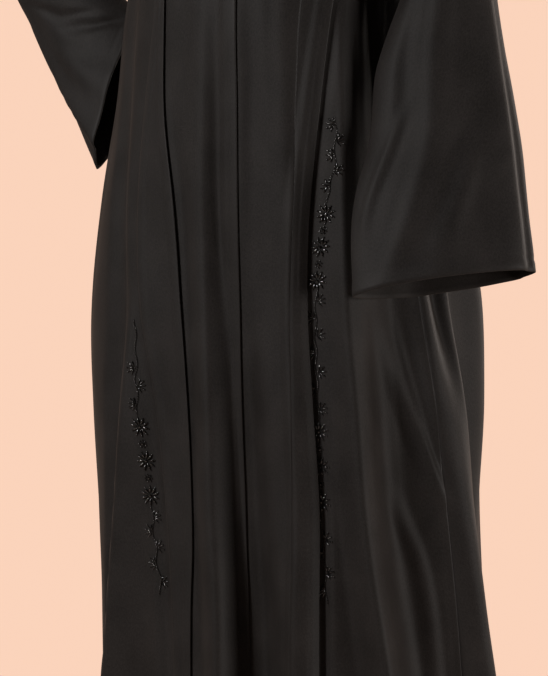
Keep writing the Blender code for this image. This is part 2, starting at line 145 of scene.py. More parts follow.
floor_turn = np.linspace(0, 2 * math.pi, 96, endpoint=False)
floor_mesh = bpy.data.meshes.new("floor")
floor_ring = FLOOR_RADIUS * np.stack([np.cos(floor_turn), np.sin(floor_turn)], 1)
floor_points = np.column_stack([floor_ring, 0 * floor_turn + FLOOR_Z])
floor_mesh.from_pydata(floor_points.tolist(), [], [list(range(96))])
floor = bpy.data.objects.new("floor", floor_mesh)
bpy.context.scene.collection.objects.link(floor)
floor_paint = bpy.data.materials.new("pale_floor")
floor_paint.use_nodes = True
nodes, links = floor_paint.node_tree.nodes, floor_paint.node_tree.links
floor_shader = nodes["Principled BSDF"]
floor_shader.inputs["Base Color"].default_value = FLOOR_COLOR
floor_shader.inputs["Roughness"].default_value = 0.85
place = nodes.new("ShaderNodeTexCoord")
away = nodes.new("ShaderNodeVectorMath")
away.operation = "LENGTH"
flatten = nodes.new("ShaderNodeVectorMath")
flatten.operation = "MULTIPLY"
flatten.inputs[1].default_value = (1, 1, 0)
fade = nodes.new("ShaderNodeMapRange")
fade.interpolation_type = "SMOOTHSTEP"
fade.inputs["From Min"].default_value = FLOOR_FADE_FROM
fade.inputs["From Max"].default_value = FLOOR_FADE_TO
fade.inputs["To Min"].default_value = 1
fade.inputs["To Max"].default_value = 0
links.new(place.outputs["Object"], flatten.inputs[0])
links.new(flatten.outputs[0], away.inputs[0])
links.new(away.outputs["Value"], fade.inputs["Value"])
links.new(fade.outputs["Result"], floor_shader.inputs["Alpha"])
floor_mesh.materials.append(floor_paint)

# The back: one wide cloth from the neckline and the shoulder seams to the hem, and from one side
# seam round to the other. It is polyester crepe with a pebbly grain, sewn to the side cloths with
# pressed-open seams. It sets the shape that all the body's cloths share.
CLOTH = 0.0015
SEAM_GAP = 0.0003
HEM_Z = -1.42
ARMPIT_Z = -0.265
CHEST_Z = -0.17
ROWS_SKIRT = 215
ROWS_ARMHOLE = 20
ROWS_SHOULDER = 24

NECK_HALF_WIDTH = 0.078
NECK_SIDE_Y = 0.005
FRONT_NECK_DROP = 0.085
FRONT_NECK_Y = -0.088
BACK_NECK_DROP = 0.014
BACK_NECK_Y = 0.066
SHOULDER_TIP = (0.200, 0.010, -0.052)
NECK_ANGLE = 38.0
SHOULDER_ANGLE = 64.0
NECK_TURN = math.radians(52)
SHOULDER_TURN = math.radians(80)

# The oval section without folds: half-widths on the wearer's right and left, and depths
SECTION_COLUMNS = ("z", "right", "left", "front", "back")
SECTIONS = (
    (-0.17, 0.178, 0.172, 0.118, 0.110),
    (-0.25, 0.187, 0.166, 0.133, 0.115),
    (-0.33, 0.204, 0.158, 0.145, 0.122),
    (-0.45, 0.218, 0.178, 0.146, 0.140),
    (-0.57, 0.239, 0.200, 0.145, 0.152),
    (-0.69, 0.2545, 0.222, 0.145, 0.160),
    (-0.81, 0.2545, 0.237, 0.147, 0.166),
    (-0.93, 0.247, 0.243, 0.148, 0.170),
    (-1.05, 0.242, 0.250, 0.150, 0.175),
    (-1.17, 0.240, 0.258, 0.152, 0.180),
    (-1.42, 0.246, 0.275, 0.158, 0.190),
)

# Where the cloths end, in degrees round the section from the centre front to the wearer's left
EDGE_COLUMNS = (
    "z", "side_right", "slit_right", "tuck_right", "centre", "crease_left", "slit_left", "side_left",
)
EDGES = (
    (-0.17, -90.0, -50.0, -42.0, 0.0, 42.0, 53.0, 90.0),
    (-0.25, -90.0, -41.0, -34.5, 0.0, 34.5, 47.5, 90.0),
    (-0.33, -92.0, -34.6, -29.6, 0.0, 28.6, 42.5, 84.0),
    (-0.45, -95.0, -36.4, -27.4, 0.3, 23.3, 32.8, 74.0),
    (-0.57, -97.0, -35.2, -21.0, 0.3, 20.1, 25.7, 68.0),
    (-0.69, -98.0, -30.8, -16.9, 0.4, 17.4, 22.1, 65.0),
    (-0.81, -98.0, -25.4, -14.2, 0.6, 17.1, 22.4, 66.5),
    (-0.93, -98.0, -22.3, -13.1, 1.3, 17.0, 23.8, 69.0),
    (-1.05, -98.0, -20.3, -13.8, 1.8, 16.6, 23.0, 71.5),
    (-1.17, -98.0, -19.2, -13.6, 2.1, 16.2, 22.4, 73.0),
    (-1.42, -98.0, -18.6, -13.0, 2.3, 15.6, 22.0, 74.0),
)

# How far the edge of an upper layer stands off the layer below it
LIFT_COLUMNS = ("z", "slit_right", "tuck_right", "centre", "slit_left")
LIFTS = (
    (-0.00, 0.0024, 0.0024, 0.0024, 0.0024),
    (-0.25, 0.0026, 0.0026, 0.0026, 0.0026),
    (-0.45, 0.0028, 0.0031, 0.0022, 0.0031),
    (-0.69, 0.0028, 0.0034, 0.0021, 0.0036),
    (-0.93, 0.0026, 0.0029, 0.0022, 0.0058),
    (-1.42, 0.0028, 0.0029, 0.0028, 0.0064),
)

# Long folds: name, reach before and after the crest in degrees, then the crest's angle and its
# height in millimetres at each of these heights above the floor's side
FOLD_LEVELS = (-0.20, -0.33, -0.45, -0.57, -0.69, -0.81, -0.93, -1.05, -1.17, -1.42)
FOLDS = (
    ("front_right_ridge", 8.5, 5.0,
     (-15, -13, -12, -10.9, -9.2, -7.4, -6.0, -3.8, -2.6, -1.6), (0, 2, 4, 5, 7, 12, 17, 22, 25, 30)),
    ("centre_valley", 5.5, 9.5,
     (-7, -7, -7, -6.0, -3.2, -1.1, 0.4, 2.6, 3.4, 4.0), (0, 0, -2, -4, -8, -13, -18, -22, -25, -29)),
    ("valley_floor", 5.0, 6.5,
     (4, 4, 4, 3, 2.5, 4.2, 5.6, 7.8, 8.8, 9.4), (0, 0, 0, 0, -2, -5, -8, -9, -10, -12)),
    ("tuck_valley", 3.0, 5.0,
     (-28, -27, -24.5, -18.5, -14.5, -12, -11.2, -11.9, -11.7, -11), (0, 0, -1, -2.5, -2.5, -2, -1,
      -0.5, 0, 0)),
    ("front_left_hollow", 6.0, 7.0,
     (6, 6, 6.2, 5, 5, 5.5, 6.5, 7, 7, 7), (0, -1, -3, -3, -3, -3, -2, -2, -2, -2)),
    ("front_left_ridge", 8.0, 6.5,
     (22, 21, 19, 17.5, 17, 17.2, 17.4, 17.8, 18, 18), (0, 2, 3, 4, 4, 4, 5, 7, 8, 10)),
    ("slit_left_hollow", 4.5, 3.8,
     (48, 45, 34.5, 27, 23.8, 24.0, 25.0, 24.6, 24, 23.6), (0, -2, -2.5, -3, -3.5, -5, -6.5, -7, -7,
      -7)),
    ("beaded_ridge_left", 9.0, 9.0,
     (46, 46, 41.5, 37.8, 35.2, 35.9, 37.8, 41, 44.5, 50), (0, 2, 6, 10, 13, 17, 21, 24, 27, 32)),
    ("arm_hollow_left", 15.0, 22.0,
     (60, 62, 60, 57, 54, 52, 53, 56, 60, 65), (0, -7, -17, -21, -23, -22, -21, -19, -17, -15)),
    ("side_ridge_left", 11.0, 10.0,
     (74, 74, 73, 74, 77, 77, 78, 80, 82, 84), (0, 0, -4, -12, -22, -1, 10, 19, 27, 32)),
    ("side_valley_left", 10.0, 15.0,
     (92, 92, 90, 89, 90, 92, 94, 96, 97, 98), (0, -4, -9, -14, -18, -22, -22, -20, -18, -18)),
    ("back_ridge_left", 11.0, 10.0,
     (108, 108, 108, 108, 108, 109, 110, 111, 113, 116), (0, 3, 9, 15, 16, 5, -7, -11, -8, -2)),
    ("back_valley_1", 9.0, 9.0,
     (126, 126, 126, 126, 127, 128, 129, 130, 132, 134), (0, -2, -4, -7, -10, -12, -14, -16, -18, -20)),
    ("back_ridge_1", 10.0, 9.0,
     (140, 140, 141, 142, 143, 144, 145, 146, 147, 148), (0, 2, 4, 6, 9, 11, 13, 15, 17, 20)),
    ("back_valley_2", 9.0, 10.0,
     (160, 160, 159, 159, 158, 158, 158, 158, 159, 160), (0, -1, -3, -5, -8, -10, -12, -14, -15, -17)),
    ("back_ridge_2", 10.0, 11.0,
     (176, 176, 175, 174, 173, 173, 172, 172, 172, 172), (0, 2, 4, 6, 8, 11, 14, 16, 18, 20)),
    ("back_valley_3", 9.0, 9.0,
     (194, 194, 193, 192, 191, 190, 189, 188, 188, 187), (0, -2, -3, -5, -7, -8, -10, -12, -14, -16)),
    ("back_ridge_3", 10.0, 10.0,
     (211, 211, 210, 209, 207, 206, 205, 204, 204, 203), (0, 1, 3, 6, 9, 12, 14, 16, 18, 21)),
    ("back_valley_4", 9.0, 10.0,
     (230, 230, 229, 227, 226, 225, 224, 223, 222, 221), (0, -2, -5, -8, -10, -12, -13, -15, -16, -18)),
    ("back_ridge_4", 10.0, 11.0,
     (246, 246, 246, 245, 244, 243, 242, 241, 240, 239), (0, 2, 5, 8, 9, 10, 11, 12, 14, 17)),
    ("side_valley_right", 9.0, 7.0,
     (-58, -53, -52, -48, -43, -45, -49, -53, -57, -65), (0, -4, -6, -7, -7, -9, -12, -14, -15, -17)),
    ("beaded_ridge_right", 8.0, 15.0,
     (-42, -42, -42, -40, -34.5, -37, -41, -45, -49, -57), (0, 0, 0, 3, 7, 12, 16, 19, 22, 26)),
    ("slit_right_hollow", 5.0, 4.0,
     (-38, -37, -38, -38, -33, -28.5, -25.5, -23.5, -22.4, -22), (0, 0, -1, -2, -3, -4, -5, -6, -6, -6)),
)

# Short and slanting folds, and the sharp crests of long ones: name, reach before and after the
# crest in degrees, then (height above the floor's side, crest's angle, height in millimetres)
SHORT_FOLDS = (
    ("left_crest", 3.6, 2.6, ((-0.25, 46, 0), (-0.41, 42.2, 1.4), (-0.57, 37.2, 2.4), (-0.69, 35, 2.6),
     (-0.82, 36, 3), (-0.96, 38.2, 3), (-1.12, 43.2, 2.6), (-1.42, 50, 2))),
    ("right_crest", 2.6, 3.4, ((-0.62, -33, 0), (-0.71, -34.4, 1.6), (-0.83, -37, 2.6),
     (-0.93, -40.4, 2.6), (-1.03, -44.2, 2.6), (-1.12, -47.2, 2.4), (-1.42, -57, 2))),
    ("slant_high", 7.0, 4.5, ((-0.70, 47, 0), (-0.75, 50, 2.5), (-0.79, 53, 4), (-0.84, 58.5, 5),
     (-0.89, 64.5, 4.5), (-0.93, 69, 0))),
    ("slant_high_hollow", 4.0, 4.0, ((-0.70, 56, 0), (-0.76, 59.5, -3), (-0.82, 63.5, -3.5),
     (-0.88, 67, -2), (-0.92, 70, 0))),
    ("slant_low", 6.0, 5.5, ((-0.89, 46, 0), (-0.93, 50.5, 3), (-0.98, 57, 4.5), (-1.04, 60.5, 4.5),
     (-1.14, 62.5, 3), (-1.30, 65, 1.5), (-1.42, 66, 1))),
    ("left_recess", 5.0, 6.0, ((-0.69, 43, 0), (-0.75, 43.5, -3), (-0.82, 44.5, -4), (-0.90, 46, -4),
     (-0.98, 48.5, -3), (-1.10, 53, -2), (-1.42, 60, -1))),
    ("high_fold_left", 3.0, 3.0, ((-0.22, 62, 0), (-0.34, 58, 1.2), (-0.40, 54.5, 1.2),
     (-0.46, 51, 0.8), (-0.54, 47, 0))),
    ("high_hollow_left", 3.0, 3.0, ((-0.22, 67, 0), (-0.34, 63.5, -1.5), (-0.40, 60.5, -1.5),
     (-0.46, 57, -1), (-0.54, 52, 0))),
    ("high_fold_arm", 3.0, 4.0, ((-0.24, 72, 0), (-0.34, 68.5, 1.2), (-0.39, 66.8, 1.2),
     (-0.48, 63, 0))),
    ("front_right_hollow", 3.0, 3.0, ((-0.22, -6.5, 0), (-0.40, -6.6, -0.8), (-0.57, -6.2, -1.0),
     (-0.72, -5.4, 0))),
    ("front_left_soft", 5.0, 5.0, ((-0.25, 13, 0), (-0.45, 11.5, 0.5), (-0.69, 10.5, 0.6),
     (-0.90, 12.5, 0))),
    ("side_right_soft", 9.0, 9.0, ((-0.30, -72, 0), (-0.45, -74, 2), (-0.65, -78, 3),
     (-0.85, -82, 3), (-1.10, -88, 4), (-1.42, -90, 5))),
    ("side_right_hollow", 7.0, 8.0, ((-0.60, -88, 0), (-0.80, -94, -3), (-1.05, -100, -6),
     (-1.42, -104, -9))),
    ("back_drag_left", 6.0, 6.0, ((-0.20, 118, 0), (-0.30, 124, 2.5), (-0.42, 131, 2.5),
     (-0.55, 137, 0))),
    ("back_drag_right", 6.0, 6.0, ((-0.20, 240, 0), (-0.30, 234, 2.5), (-0.42, 227, 2.5),
     (-0.55, 221, 0))),
    ("back_hem_ripple_1", 5.0, 5.0, ((-0.95, 166, 0), (-1.15, 166, 4), (-1.42, 166, 8))),
    ("back_hem_ripple_2", 5.0, 5.0, ((-0.98, 212, 0), (-1.18, 213, 4), (-1.42, 214, 7))),
)

# Faint crumples of worn cloth: waves per turn, waves per metre of height, phase, height in millimetres
CRUMPLES = (
    (7.0, 2.3, 0.4, 0.34),
    (13.0, -3.1, 2.1, 0.12),
    (5.0, 5.2, 1.2, 0.24),
    (9.0, -8.5, 5.1, 0.08),
)

# Where each cloth's hem and side edges are turned in, and how much thicker the turning is
TURNING = 0.010
TURNING_RISE = 0.0005
HEM_TURNING = 0.030
HEM_SOFT = 0.002
STITCH_HALF_WIDTH = 0.0015
HEM_DIP = 0.6
SEAM_SINK = 0.0004
SEAM_REACH = 0.004
GATHER_TO_EDGES = 0.45


def column(table, names, name):
    """One named column of a table as an array."""
    return np.array([row[names.index(name)] for row in table], float)


def smooth(xs, ys, x):
    """A smooth curve through the points (xs, ys), read at x: a cubic between each two points, whose
    slope at a point is the mean of the slopes on its two sides."""
    xs, ys = np.asarray(xs, float), np.asarray(ys, float)
    if xs[0] > xs[-1]:
        xs, ys = xs[::-1], ys[::-1]
    steps = np.diff(xs)
    chords = (np.diff(ys, axis=0).T / steps).T
    slopes = np.concatenate([chords[:1], 0.5 * (chords[1:] + chords[:-1]), chords[-1:]])
    x = np.clip(np.asarray(x, float), xs[0], xs[-1])
    k = np.clip(np.searchsorted(xs, x, side="right") - 1, 0, len(steps) - 1)
    width = steps[k]
    s = (x - xs[k]) / width
    if ys.ndim > 1:
        s, width = s[..., None], width[..., None]
    return (
        (2 * s**3 - 3 * s**2 + 1) * ys[k]
        + (s**3 - 2 * s**2 + s) * width * slopes[k]
        + (3 * s**2 - 2 * s**3) * ys[k + 1]
        + (s**3 - s**2) * width * slopes[k + 1]
    )


def ease(x):
    """0 below 0, 1 above 1, and a soft step between: three x squared less two x cubed."""
    x = np.clip(x, 0, 1)
    return x * x * (3 - 2 * x)


def edge_angle(name, z):
    """Angle of a named edge at height z, in degrees."""
    return smooth(column(EDGES, EDGE_COLUMNS, "z"), column(EDGES, EDGE_COLUMNS, name), z)


def edge_lift(name, z):
    """How far a named edge stands off at height z."""
    return smooth(column(LIFTS, LIFT_COLUMNS, "z"), column(LIFTS, LIFT_COLUMNS, name), z)


def section_size(name, z):
    """Half-width or depth of the oval section at height z."""
    return smooth(column(SECTIONS, SECTION_COLUMNS, "z"), column(SECTIONS, SECTION_COLUMNS, name), z)


def one_fold(angle, crest, before, after, height):
    """A fold: half a cosine wave down from its crest to nothing at its reach on either side."""
    off = (angle - crest + 180) % 360 - 180
    reach = np.where(off < 0, before, after)
    return height * 0.5 * (1 + np.cos(math.pi * np.clip(np.abs(off) / reach, 0, 1)))


def fold_offset(angle, z):
    """How far the cloth stands out of its oval: the sum of the folds and of the faint crumples."""
    total = np.zeros(np.broadcast(angle, z).shape)
    for _, before, after, angles, heights in FOLDS:
        crest, height = smooth(FOLD_LEVELS, angles, z), smooth(FOLD_LEVELS, heights, z)
        total += one_fold(angle, crest, before, after, height)
    for _, before, after, line in SHORT_FOLDS:
        places, angles, heights = np.array(line, float).T
        total += one_fold(angle, smooth(places, angles, z), before, after, smooth(places, heights, z))
    hang = ease((CHEST_Z - 0.03 - z) / 0.25)
    for round_waves, up_waves, phase, height in CRUMPLES:
        total += hang * height * np.sin(np.radians(angle) * round_waves + 2 * math.pi * up_waves * z + phase)
    return total / 1000


def section_point(angle, z):
    """A point of the section at height z: the oval at that angle, moved out square to it by the
    folds."""
    turn = np.radians(angle)
    s, c = np.sin(turn), np.cos(turn)
    wide = np.where(s >= 0, section_size("left", z), section_size("right", z))
    deep = np.where(c >= 0, section_size("front", z), section_size("back", z))
    normal = np.stack([s / wide, -c / deep], -1)
    normal /= np.linalg.norm(normal, axis=-1, keepdims=True)
    out = fold_offset(angle, z)
    return np.stack([wide * s + out * normal[..., 0], -deep * c + out * normal[..., 1], z + 0 * s], -1)


def top_point(angle):
    """Where a column of the cloth ends: on the oval neckline near the centre, and past the neckline's
    side on the straight shoulder seam."""
    off = (angle + 180) % 360 - 180
    side = np.sign(off) + (off == 0)
    back = np.abs(off) > 90
    share = np.where(back, 180 - np.abs(off), np.abs(off))
    round_neck = np.radians(90 * np.clip(share / NECK_ANGLE, 0, 1))
    drop = np.where(back, BACK_NECK_DROP, FRONT_NECK_DROP)
    reach = np.where(back, BACK_NECK_Y, FRONT_NECK_Y) - NECK_SIDE_Y
    neck = np.stack([
        side * NECK_HALF_WIDTH * np.sin(round_neck),
        NECK_SIDE_Y + reach * np.cos(round_neck),
        -drop * np.cos(round_neck),
    ], -1)
    out = np.clip((share - NECK_ANGLE) / (SHOULDER_ANGLE - NECK_ANGLE), 0, 1)[..., None]
    corner = np.stack([side * NECK_HALF_WIDTH, NECK_SIDE_Y + 0 * side, 0 * side], -1)
    tip = np.stack([side * SHOULDER_TIP[0], SHOULDER_TIP[1] + 0 * side, SHOULDER_TIP[2] + 0 * side], -1)
    seam = corner + out * (tip - corner)
    seam[..., 1] += np.where(back, 1, -1) * SEAM_GAP
    return np.where((share < NECK_ANGLE)[..., None], neck, seam)


def cloth_point(angle, level):
    """A point of the surface that all the body's cloths share. level is a height up to the chest. Above
    it, level less the chest's height is a share of an arc that leans over from the section's point
    to the neckline or shoulder seam."""
    z = np.minimum(level, CHEST_Z)
    over = np.clip(level - CHEST_Z, 0, 1)
    chest = section_point(angle, z)
    top = top_point(angle)
    off = np.abs((angle + 180) % 360 - 180)
    share = np.minimum(off, 180 - off)
    most = NECK_TURN + (SHOULDER_TURN - NECK_TURN) * ease(share / NECK_ANGLE)
    turn = over * most
    inward = ((1 - np.cos(turn)) / (1 - np.cos(most)))[..., None]
    rise = np.sin(turn) / np.sin(most)
    flat = chest[..., :2] + inward * (top[..., :2] - chest[..., :2])
    height = z + rise * (top[..., 2] - z)
    return np.concatenate([flat, height[..., None]], -1)


def cloth_normal(angle, level):
    """The way out of the shared surface: across its columns, crossed with up its rows."""
    across = cloth_point(angle + 0.4, level) - cloth_point(angle - 0.4, level)
    normal = np.cross(across, cloth_point(angle, level + 0.004) - cloth_point(angle, level - 0.004))
    return normal / np.linalg.norm(normal, axis=-1, keepdims=True)


def armhole_angle(level):
    """Angle from the side line to the armhole's edge: nothing at the armpit, and a quarter sine wave
    up to its widest at the chest."""
    climb = np.clip((level - ARMPIT_Z) / (CHEST_Z - ARMPIT_Z), 0, 1)
    return (90 - SHOULDER_ANGLE) * np.sin(climb * math.pi / 2) ** 0.8


def body_levels():
    """The rows of a body cloth, from the hem to the neckline or shoulder seam."""
    skirt = np.linspace(HEM_Z, ARMPIT_Z, ROWS_SKIRT)
    beside = np.linspace(ARMPIT_Z, CHEST_Z, ROWS_ARMHOLE + 1)[1:]
    over = CHEST_Z + np.linspace(0, 1, ROWS_SHOULDER + 1)[1:]
    return np.concatenate([skirt, beside, over])[:, None]


def close_at_the_ends(count):
    """Shares from 0 to 1 for a cloth's columns: part even steps, and part half a cosine wave, which
    sets the columns closer together towards both edges."""
    even = np.linspace(0, 1, count)
    return (1 - GATHER_TO_EDGES) * even + GATHER_TO_EDGES * (0.5 - 0.5 * np.cos(math.pi * even))


def run_along(grid, axis):
    """Length of cloth from the grid's first row or column, added up from point to point."""
    steps = np.linalg.norm(np.diff(grid, axis=axis), axis=-1)
    start = np.zeros_like(steps[:1] if axis == 0 else steps[:, :1])
    return np.concatenate([start, np.cumsum(steps, axis)], axis)


def grid_normals(grid, closed):
    """The way out of a grid at each point: the step along its row crossed with the step up its
    column."""
    across = np.roll(grid, -1, 1) - np.roll(grid, 1, 1) if closed else np.gradient(grid, axis=1)
    normals = np.cross(across, np.gradient(grid, axis=0))
    return normals / np.linalg.norm(normals, axis=-1, keepdims=True)


def hem_rise(grid, hem, dip):
    """How far a hem stands out: the turning's thickness up to the stitch line, where the cloth dips
    by a share of it, a bell curve wide."""
    up = run_along(grid, 0)
    stitch = np.exp(-(((up - hem - HEM_SOFT) / STITCH_HALF_WIDTH) ** 2))
    return TURNING_RISE * (1 - ease((up - hem) / HEM_SOFT)) - dip * TURNING_RISE * stitch


def finished_edges(grid, sewn, turned):
    """Moves a cloth's outer points by the marks of its sewing. sewn says which of the first and last
    columns are seams, where the cloth sinks towards the seam, and turned which are turned edges,
    which stand thicker. The hem is thicker up to its stitch line, where the cloth dips."""
    along = run_along(grid, 1)
    away_from = {"first": along, "last": along[:, -1:] - along}
    rise = np.zeros(grid.shape[:2])
    for end in sewn:
        rise -= SEAM_SINK * (1 - ease(away_from[end] / SEAM_REACH))
    for end in turned:
        rise += TURNING_RISE * (1 - ease((away_from[end] - TURNING) / STITCH_HALF_WIDTH))
    rise += hem_rise(grid, HEM_TURNING, HEM_DIP)
    return grid + rise[..., None] * grid_normals(grid, False)


OUTER, RIM, INNER = 0, 1, 2


def wall_corners(rows, columns, closed):
    """The corners of a thin wall's faces as (layer, row, column). Its outer and inner layers are the
    grid, and its rim joins their borders through a middle line. A tube's rows are closed."""
    across = columns if closed else columns - 1
    r, c = (k.ravel() for k in np.meshgrid(np.arange(rows - 1), np.arange(across), indexing="ij"))
    ring_r = np.stack([r, r, r + 1, r + 1], 1)
    ring_c = np.stack([c, c + 1, c + 1, c], 1)
    faces = [
        np.stack([0 * ring_r + OUTER, ring_r, ring_c], 2),
        np.stack([0 * ring_r + INNER, ring_r, ring_c], 2)[:, ::-1],
    ]
    c, r = np.arange(across), np.arange(rows - 1)
    top, side = 0 * c + rows - 1, 0 * r + columns - 1
    edges = [(0 * c, c, 0 * c, c + 1), (top, c + 1, top, c)]
    if not closed:
        edges += [(r, side, r + 1, side), (r + 1, 0 * r, r, 0 * r)]
    from_r, from_c, to_r, to_c = (np.concatenate(k) for k in zip(*edges))
    for upper, lower in ((OUTER, RIM), (RIM, INNER)):
        layer = 0 * from_r
        faces.append(np.stack([
            np.stack([layer + upper, to_r, to_c], 1),
            np.stack([layer + upper, from_r, from_c], 1),
            np.stack([layer + lower, from_r, from_c], 1),
            np.stack([layer + lower, to_r, to_c], 1),
        ], 1))
    return np.concatenate(faces)


def rim_points(outer, inner, closed):
    """The rim's middle line: halfway between the layers, and pushed out past the border by a third
    of the cloth's thickness, so that the edge is rounded."""
    push = np.zeros_like(outer)
    push[0] += outer[0] - outer[1]
    push[-1] += outer[-1] - outer[-2]
    if not closed:
        push[1:-1, 0] += outer[1:-1, 0] - outer[1:-1, 1]
        push[1:-1, -1] += outer[1:-1, -1] - outer[1:-1, -2]
    length = np.linalg.norm(push, axis=-1, keepdims=True)
    return (outer + inner) / 2 + CLOTH / 3 * push / np.maximum(length, 1e-9)


def cloth_piece(name, outer, normals, closed, materials):
    """A cloth as a closed wall: outer points, the same points one thickness in, and a rounded rim.
    Its UV map is in metres along and up the cloth, and "edge" is 1 at its borders and fades inwards."""
    rows, columns = outer.shape[:2]
    inner = outer - CLOTH * normals
    layers = np.stack([outer, rim_points(outer, inner, closed), inner])
    corners = wall_corners(rows, columns, closed)
    layer, row, col = corners.reshape(-1, 3).T
    index = (layer * rows + row) * columns + col % columns
    used, index = np.unique(index, return_inverse=True)

    mesh = bpy.data.meshes.new(name)
    mesh.vertices.add(len(used))
    mesh.vertices.foreach_set("co", layers.reshape(-1, 3)[used].ravel())
    mesh.loops.add(len(index))
    mesh.loops.foreach_set("vertex_index", index.ravel().astype(np.int32))
    mesh.polygons.add(len(corners))
    mesh.polygons.foreach_set("loop_start", np.arange(0, len(index), 4, dtype=np.int32))
    mesh.polygons.foreach_set("material_index", (corners[:, :, 0].max(1) == INNER).astype(np.int32))
    mesh.update(calc_edges=True)
    mesh.shade_smooth()

    ring = np.concatenate([outer, outer[:, :1]], 1) if closed else outer
    along, up = run_along(ring, 1), run_along(outer, 0)
    middle = 0 if closed else along[:, columns // 2, None]
    uv = np.stack([(along - middle)[row, col], up[row, col % columns]], 1)
    mesh.uv_layers.new(name="cloth").data.foreach_set("uv", uv.ravel())
    near = up
    if not closed:
        near = np.minimum(near, np.minimum(along, along[:, -1:] - along))
    edge = np.tile(np.exp(-near / 0.004).ravel(), 3)[used]
    mesh.attributes.new("edge", "FLOAT", "POINT").data.foreach_set("value", edge)

    for material in materials:
        mesh.materials.append(material)
    piece = bpy.data.objects.new(name, mesh)
    bpy.context.scene.collection.objects.link(piece)
    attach(piece, "root")
    return piece


def body_cloth(node, angle, level, lift, sewn, turned):
    """A body cloth that stands for a node: the shared surface at its columns' angles, moved out along
    its normals by the lift, with its sewing. Returns the piece and its outer points."""
    grid = cloth_point(angle, level)
    if lift is not None:
        grid = grid + lift[..., None] * cloth_normal(angle, level)
    grid = finished_edges(grid, sewn, turned)
    piece = cloth_piece(node + "_cloth", grid, grid_normals(grid, False), False, crepe)
    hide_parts(node)
    return piece, grid


def group_socket(group, name, way, kind, value=None):
    """A named socket of a node group."""
    socket = group.interface.new_socket(name=name, in_out=way, socket_type=kind)
    if value is not None:
        socket.default_value = value


# Crepe grain: pebbles of two sizes drawn out a little along the warp, and a slow mottling. Lengths
# are in metres on the cloth's UV map.
grain = bpy.data.node_groups.new("crepe_grain", "ShaderNodeTree")
group_socket(grain, "Pebbles per metre", "INPUT", "NodeSocketFloat", 470.0)
group_socket(grain, "Mottles per metre", "INPUT", "NodeSocketFloat", 22.0)
group_socket(grain, "Tone", "OUTPUT", "NodeSocketFloat")
group_socket(grain, "Height", "OUTPUT", "NodeSocketFloat")
nodes, links = grain.nodes, grain.links
inlet, outlet = nodes.new("NodeGroupInput"), nodes.new("NodeGroupOutput")
cloth_place = nodes.new("ShaderNodeTexCoord")
warp = nodes.new("ShaderNodeMapping")
warp.inputs["Scale"].default_value = (1.0, 0.62, 1.0)
pebbles, fine_pebbles, mottles = (nodes.new("ShaderNodeTexNoise") for _ in range(3))
pebbles.inputs["Detail"].default_value = 1.5
fine_pebbles.inputs["Detail"].default_value = 0.0
mottles.inputs["Detail"].default_value = 3.0
finer = nodes.new("ShaderNodeMath")
finer.operation = "MULTIPLY"
finer.inputs[1].default_value = 2.3
height_mix = nodes.new("ShaderNodeMix")
height_mix.inputs["Factor"].default_value = 0.4
tone_mix = nodes.new("ShaderNodeMix")
tone_mix.inputs["Factor"].default_value = 0.42
links.new(cloth_place.outputs["UV"], warp.inputs["Vector"])
for noise in (pebbles, fine_pebbles, mottles):
    links.new(warp.outputs["Vector"], noise.inputs["Vector"])
links.new(inlet.outputs["Pebbles per metre"], pebbles.inputs["Scale"])
links.new(inlet.outputs["Pebbles per metre"], finer.inputs[0])
links.new(finer.outputs["Value"], fine_pebbles.inputs["Scale"])
links.new(inlet.outputs["Mottles per metre"], mottles.inputs["Scale"])
links.new(pebbles.outputs["Fac"], height_mix.inputs["A"])
links.new(fine_pebbles.outputs["Fac"], height_mix.inputs["B"])
links.new(height_mix.outputs["Result"], tone_mix.inputs["A"])
links.new(mottles.outputs["Fac"], tone_mix.inputs["B"])
links.new(tone_mix.outputs["Result"], outlet.inputs["Tone"])
links.new(height_mix.outputs["Result"], outlet.inputs["Height"])

CREPE_DARK = (0.0066, 0.0056, 0.0051, 1)
CREPE_LIGHT = (0.0216, 0.0189, 0.0179, 1)
# The borders' lighter colour is a painted sheen along the pressed edges
CREPE_PRESSED_SHEEN = (0.0180, 0.0160, 0.0153, 1)
CREPE_SPECULAR = 0.17
# The inside is painted lighter than the face: painted bounce light from the floor into the cuffs and under
# the hems
INSIDE_DARK_PAINTED_BOUNCE = (0.0125, 0.0104, 0.0094, 1)
INSIDE_LIGHT_PAINTED_BOUNCE = (0.0280, 0.0246, 0.0230, 1)


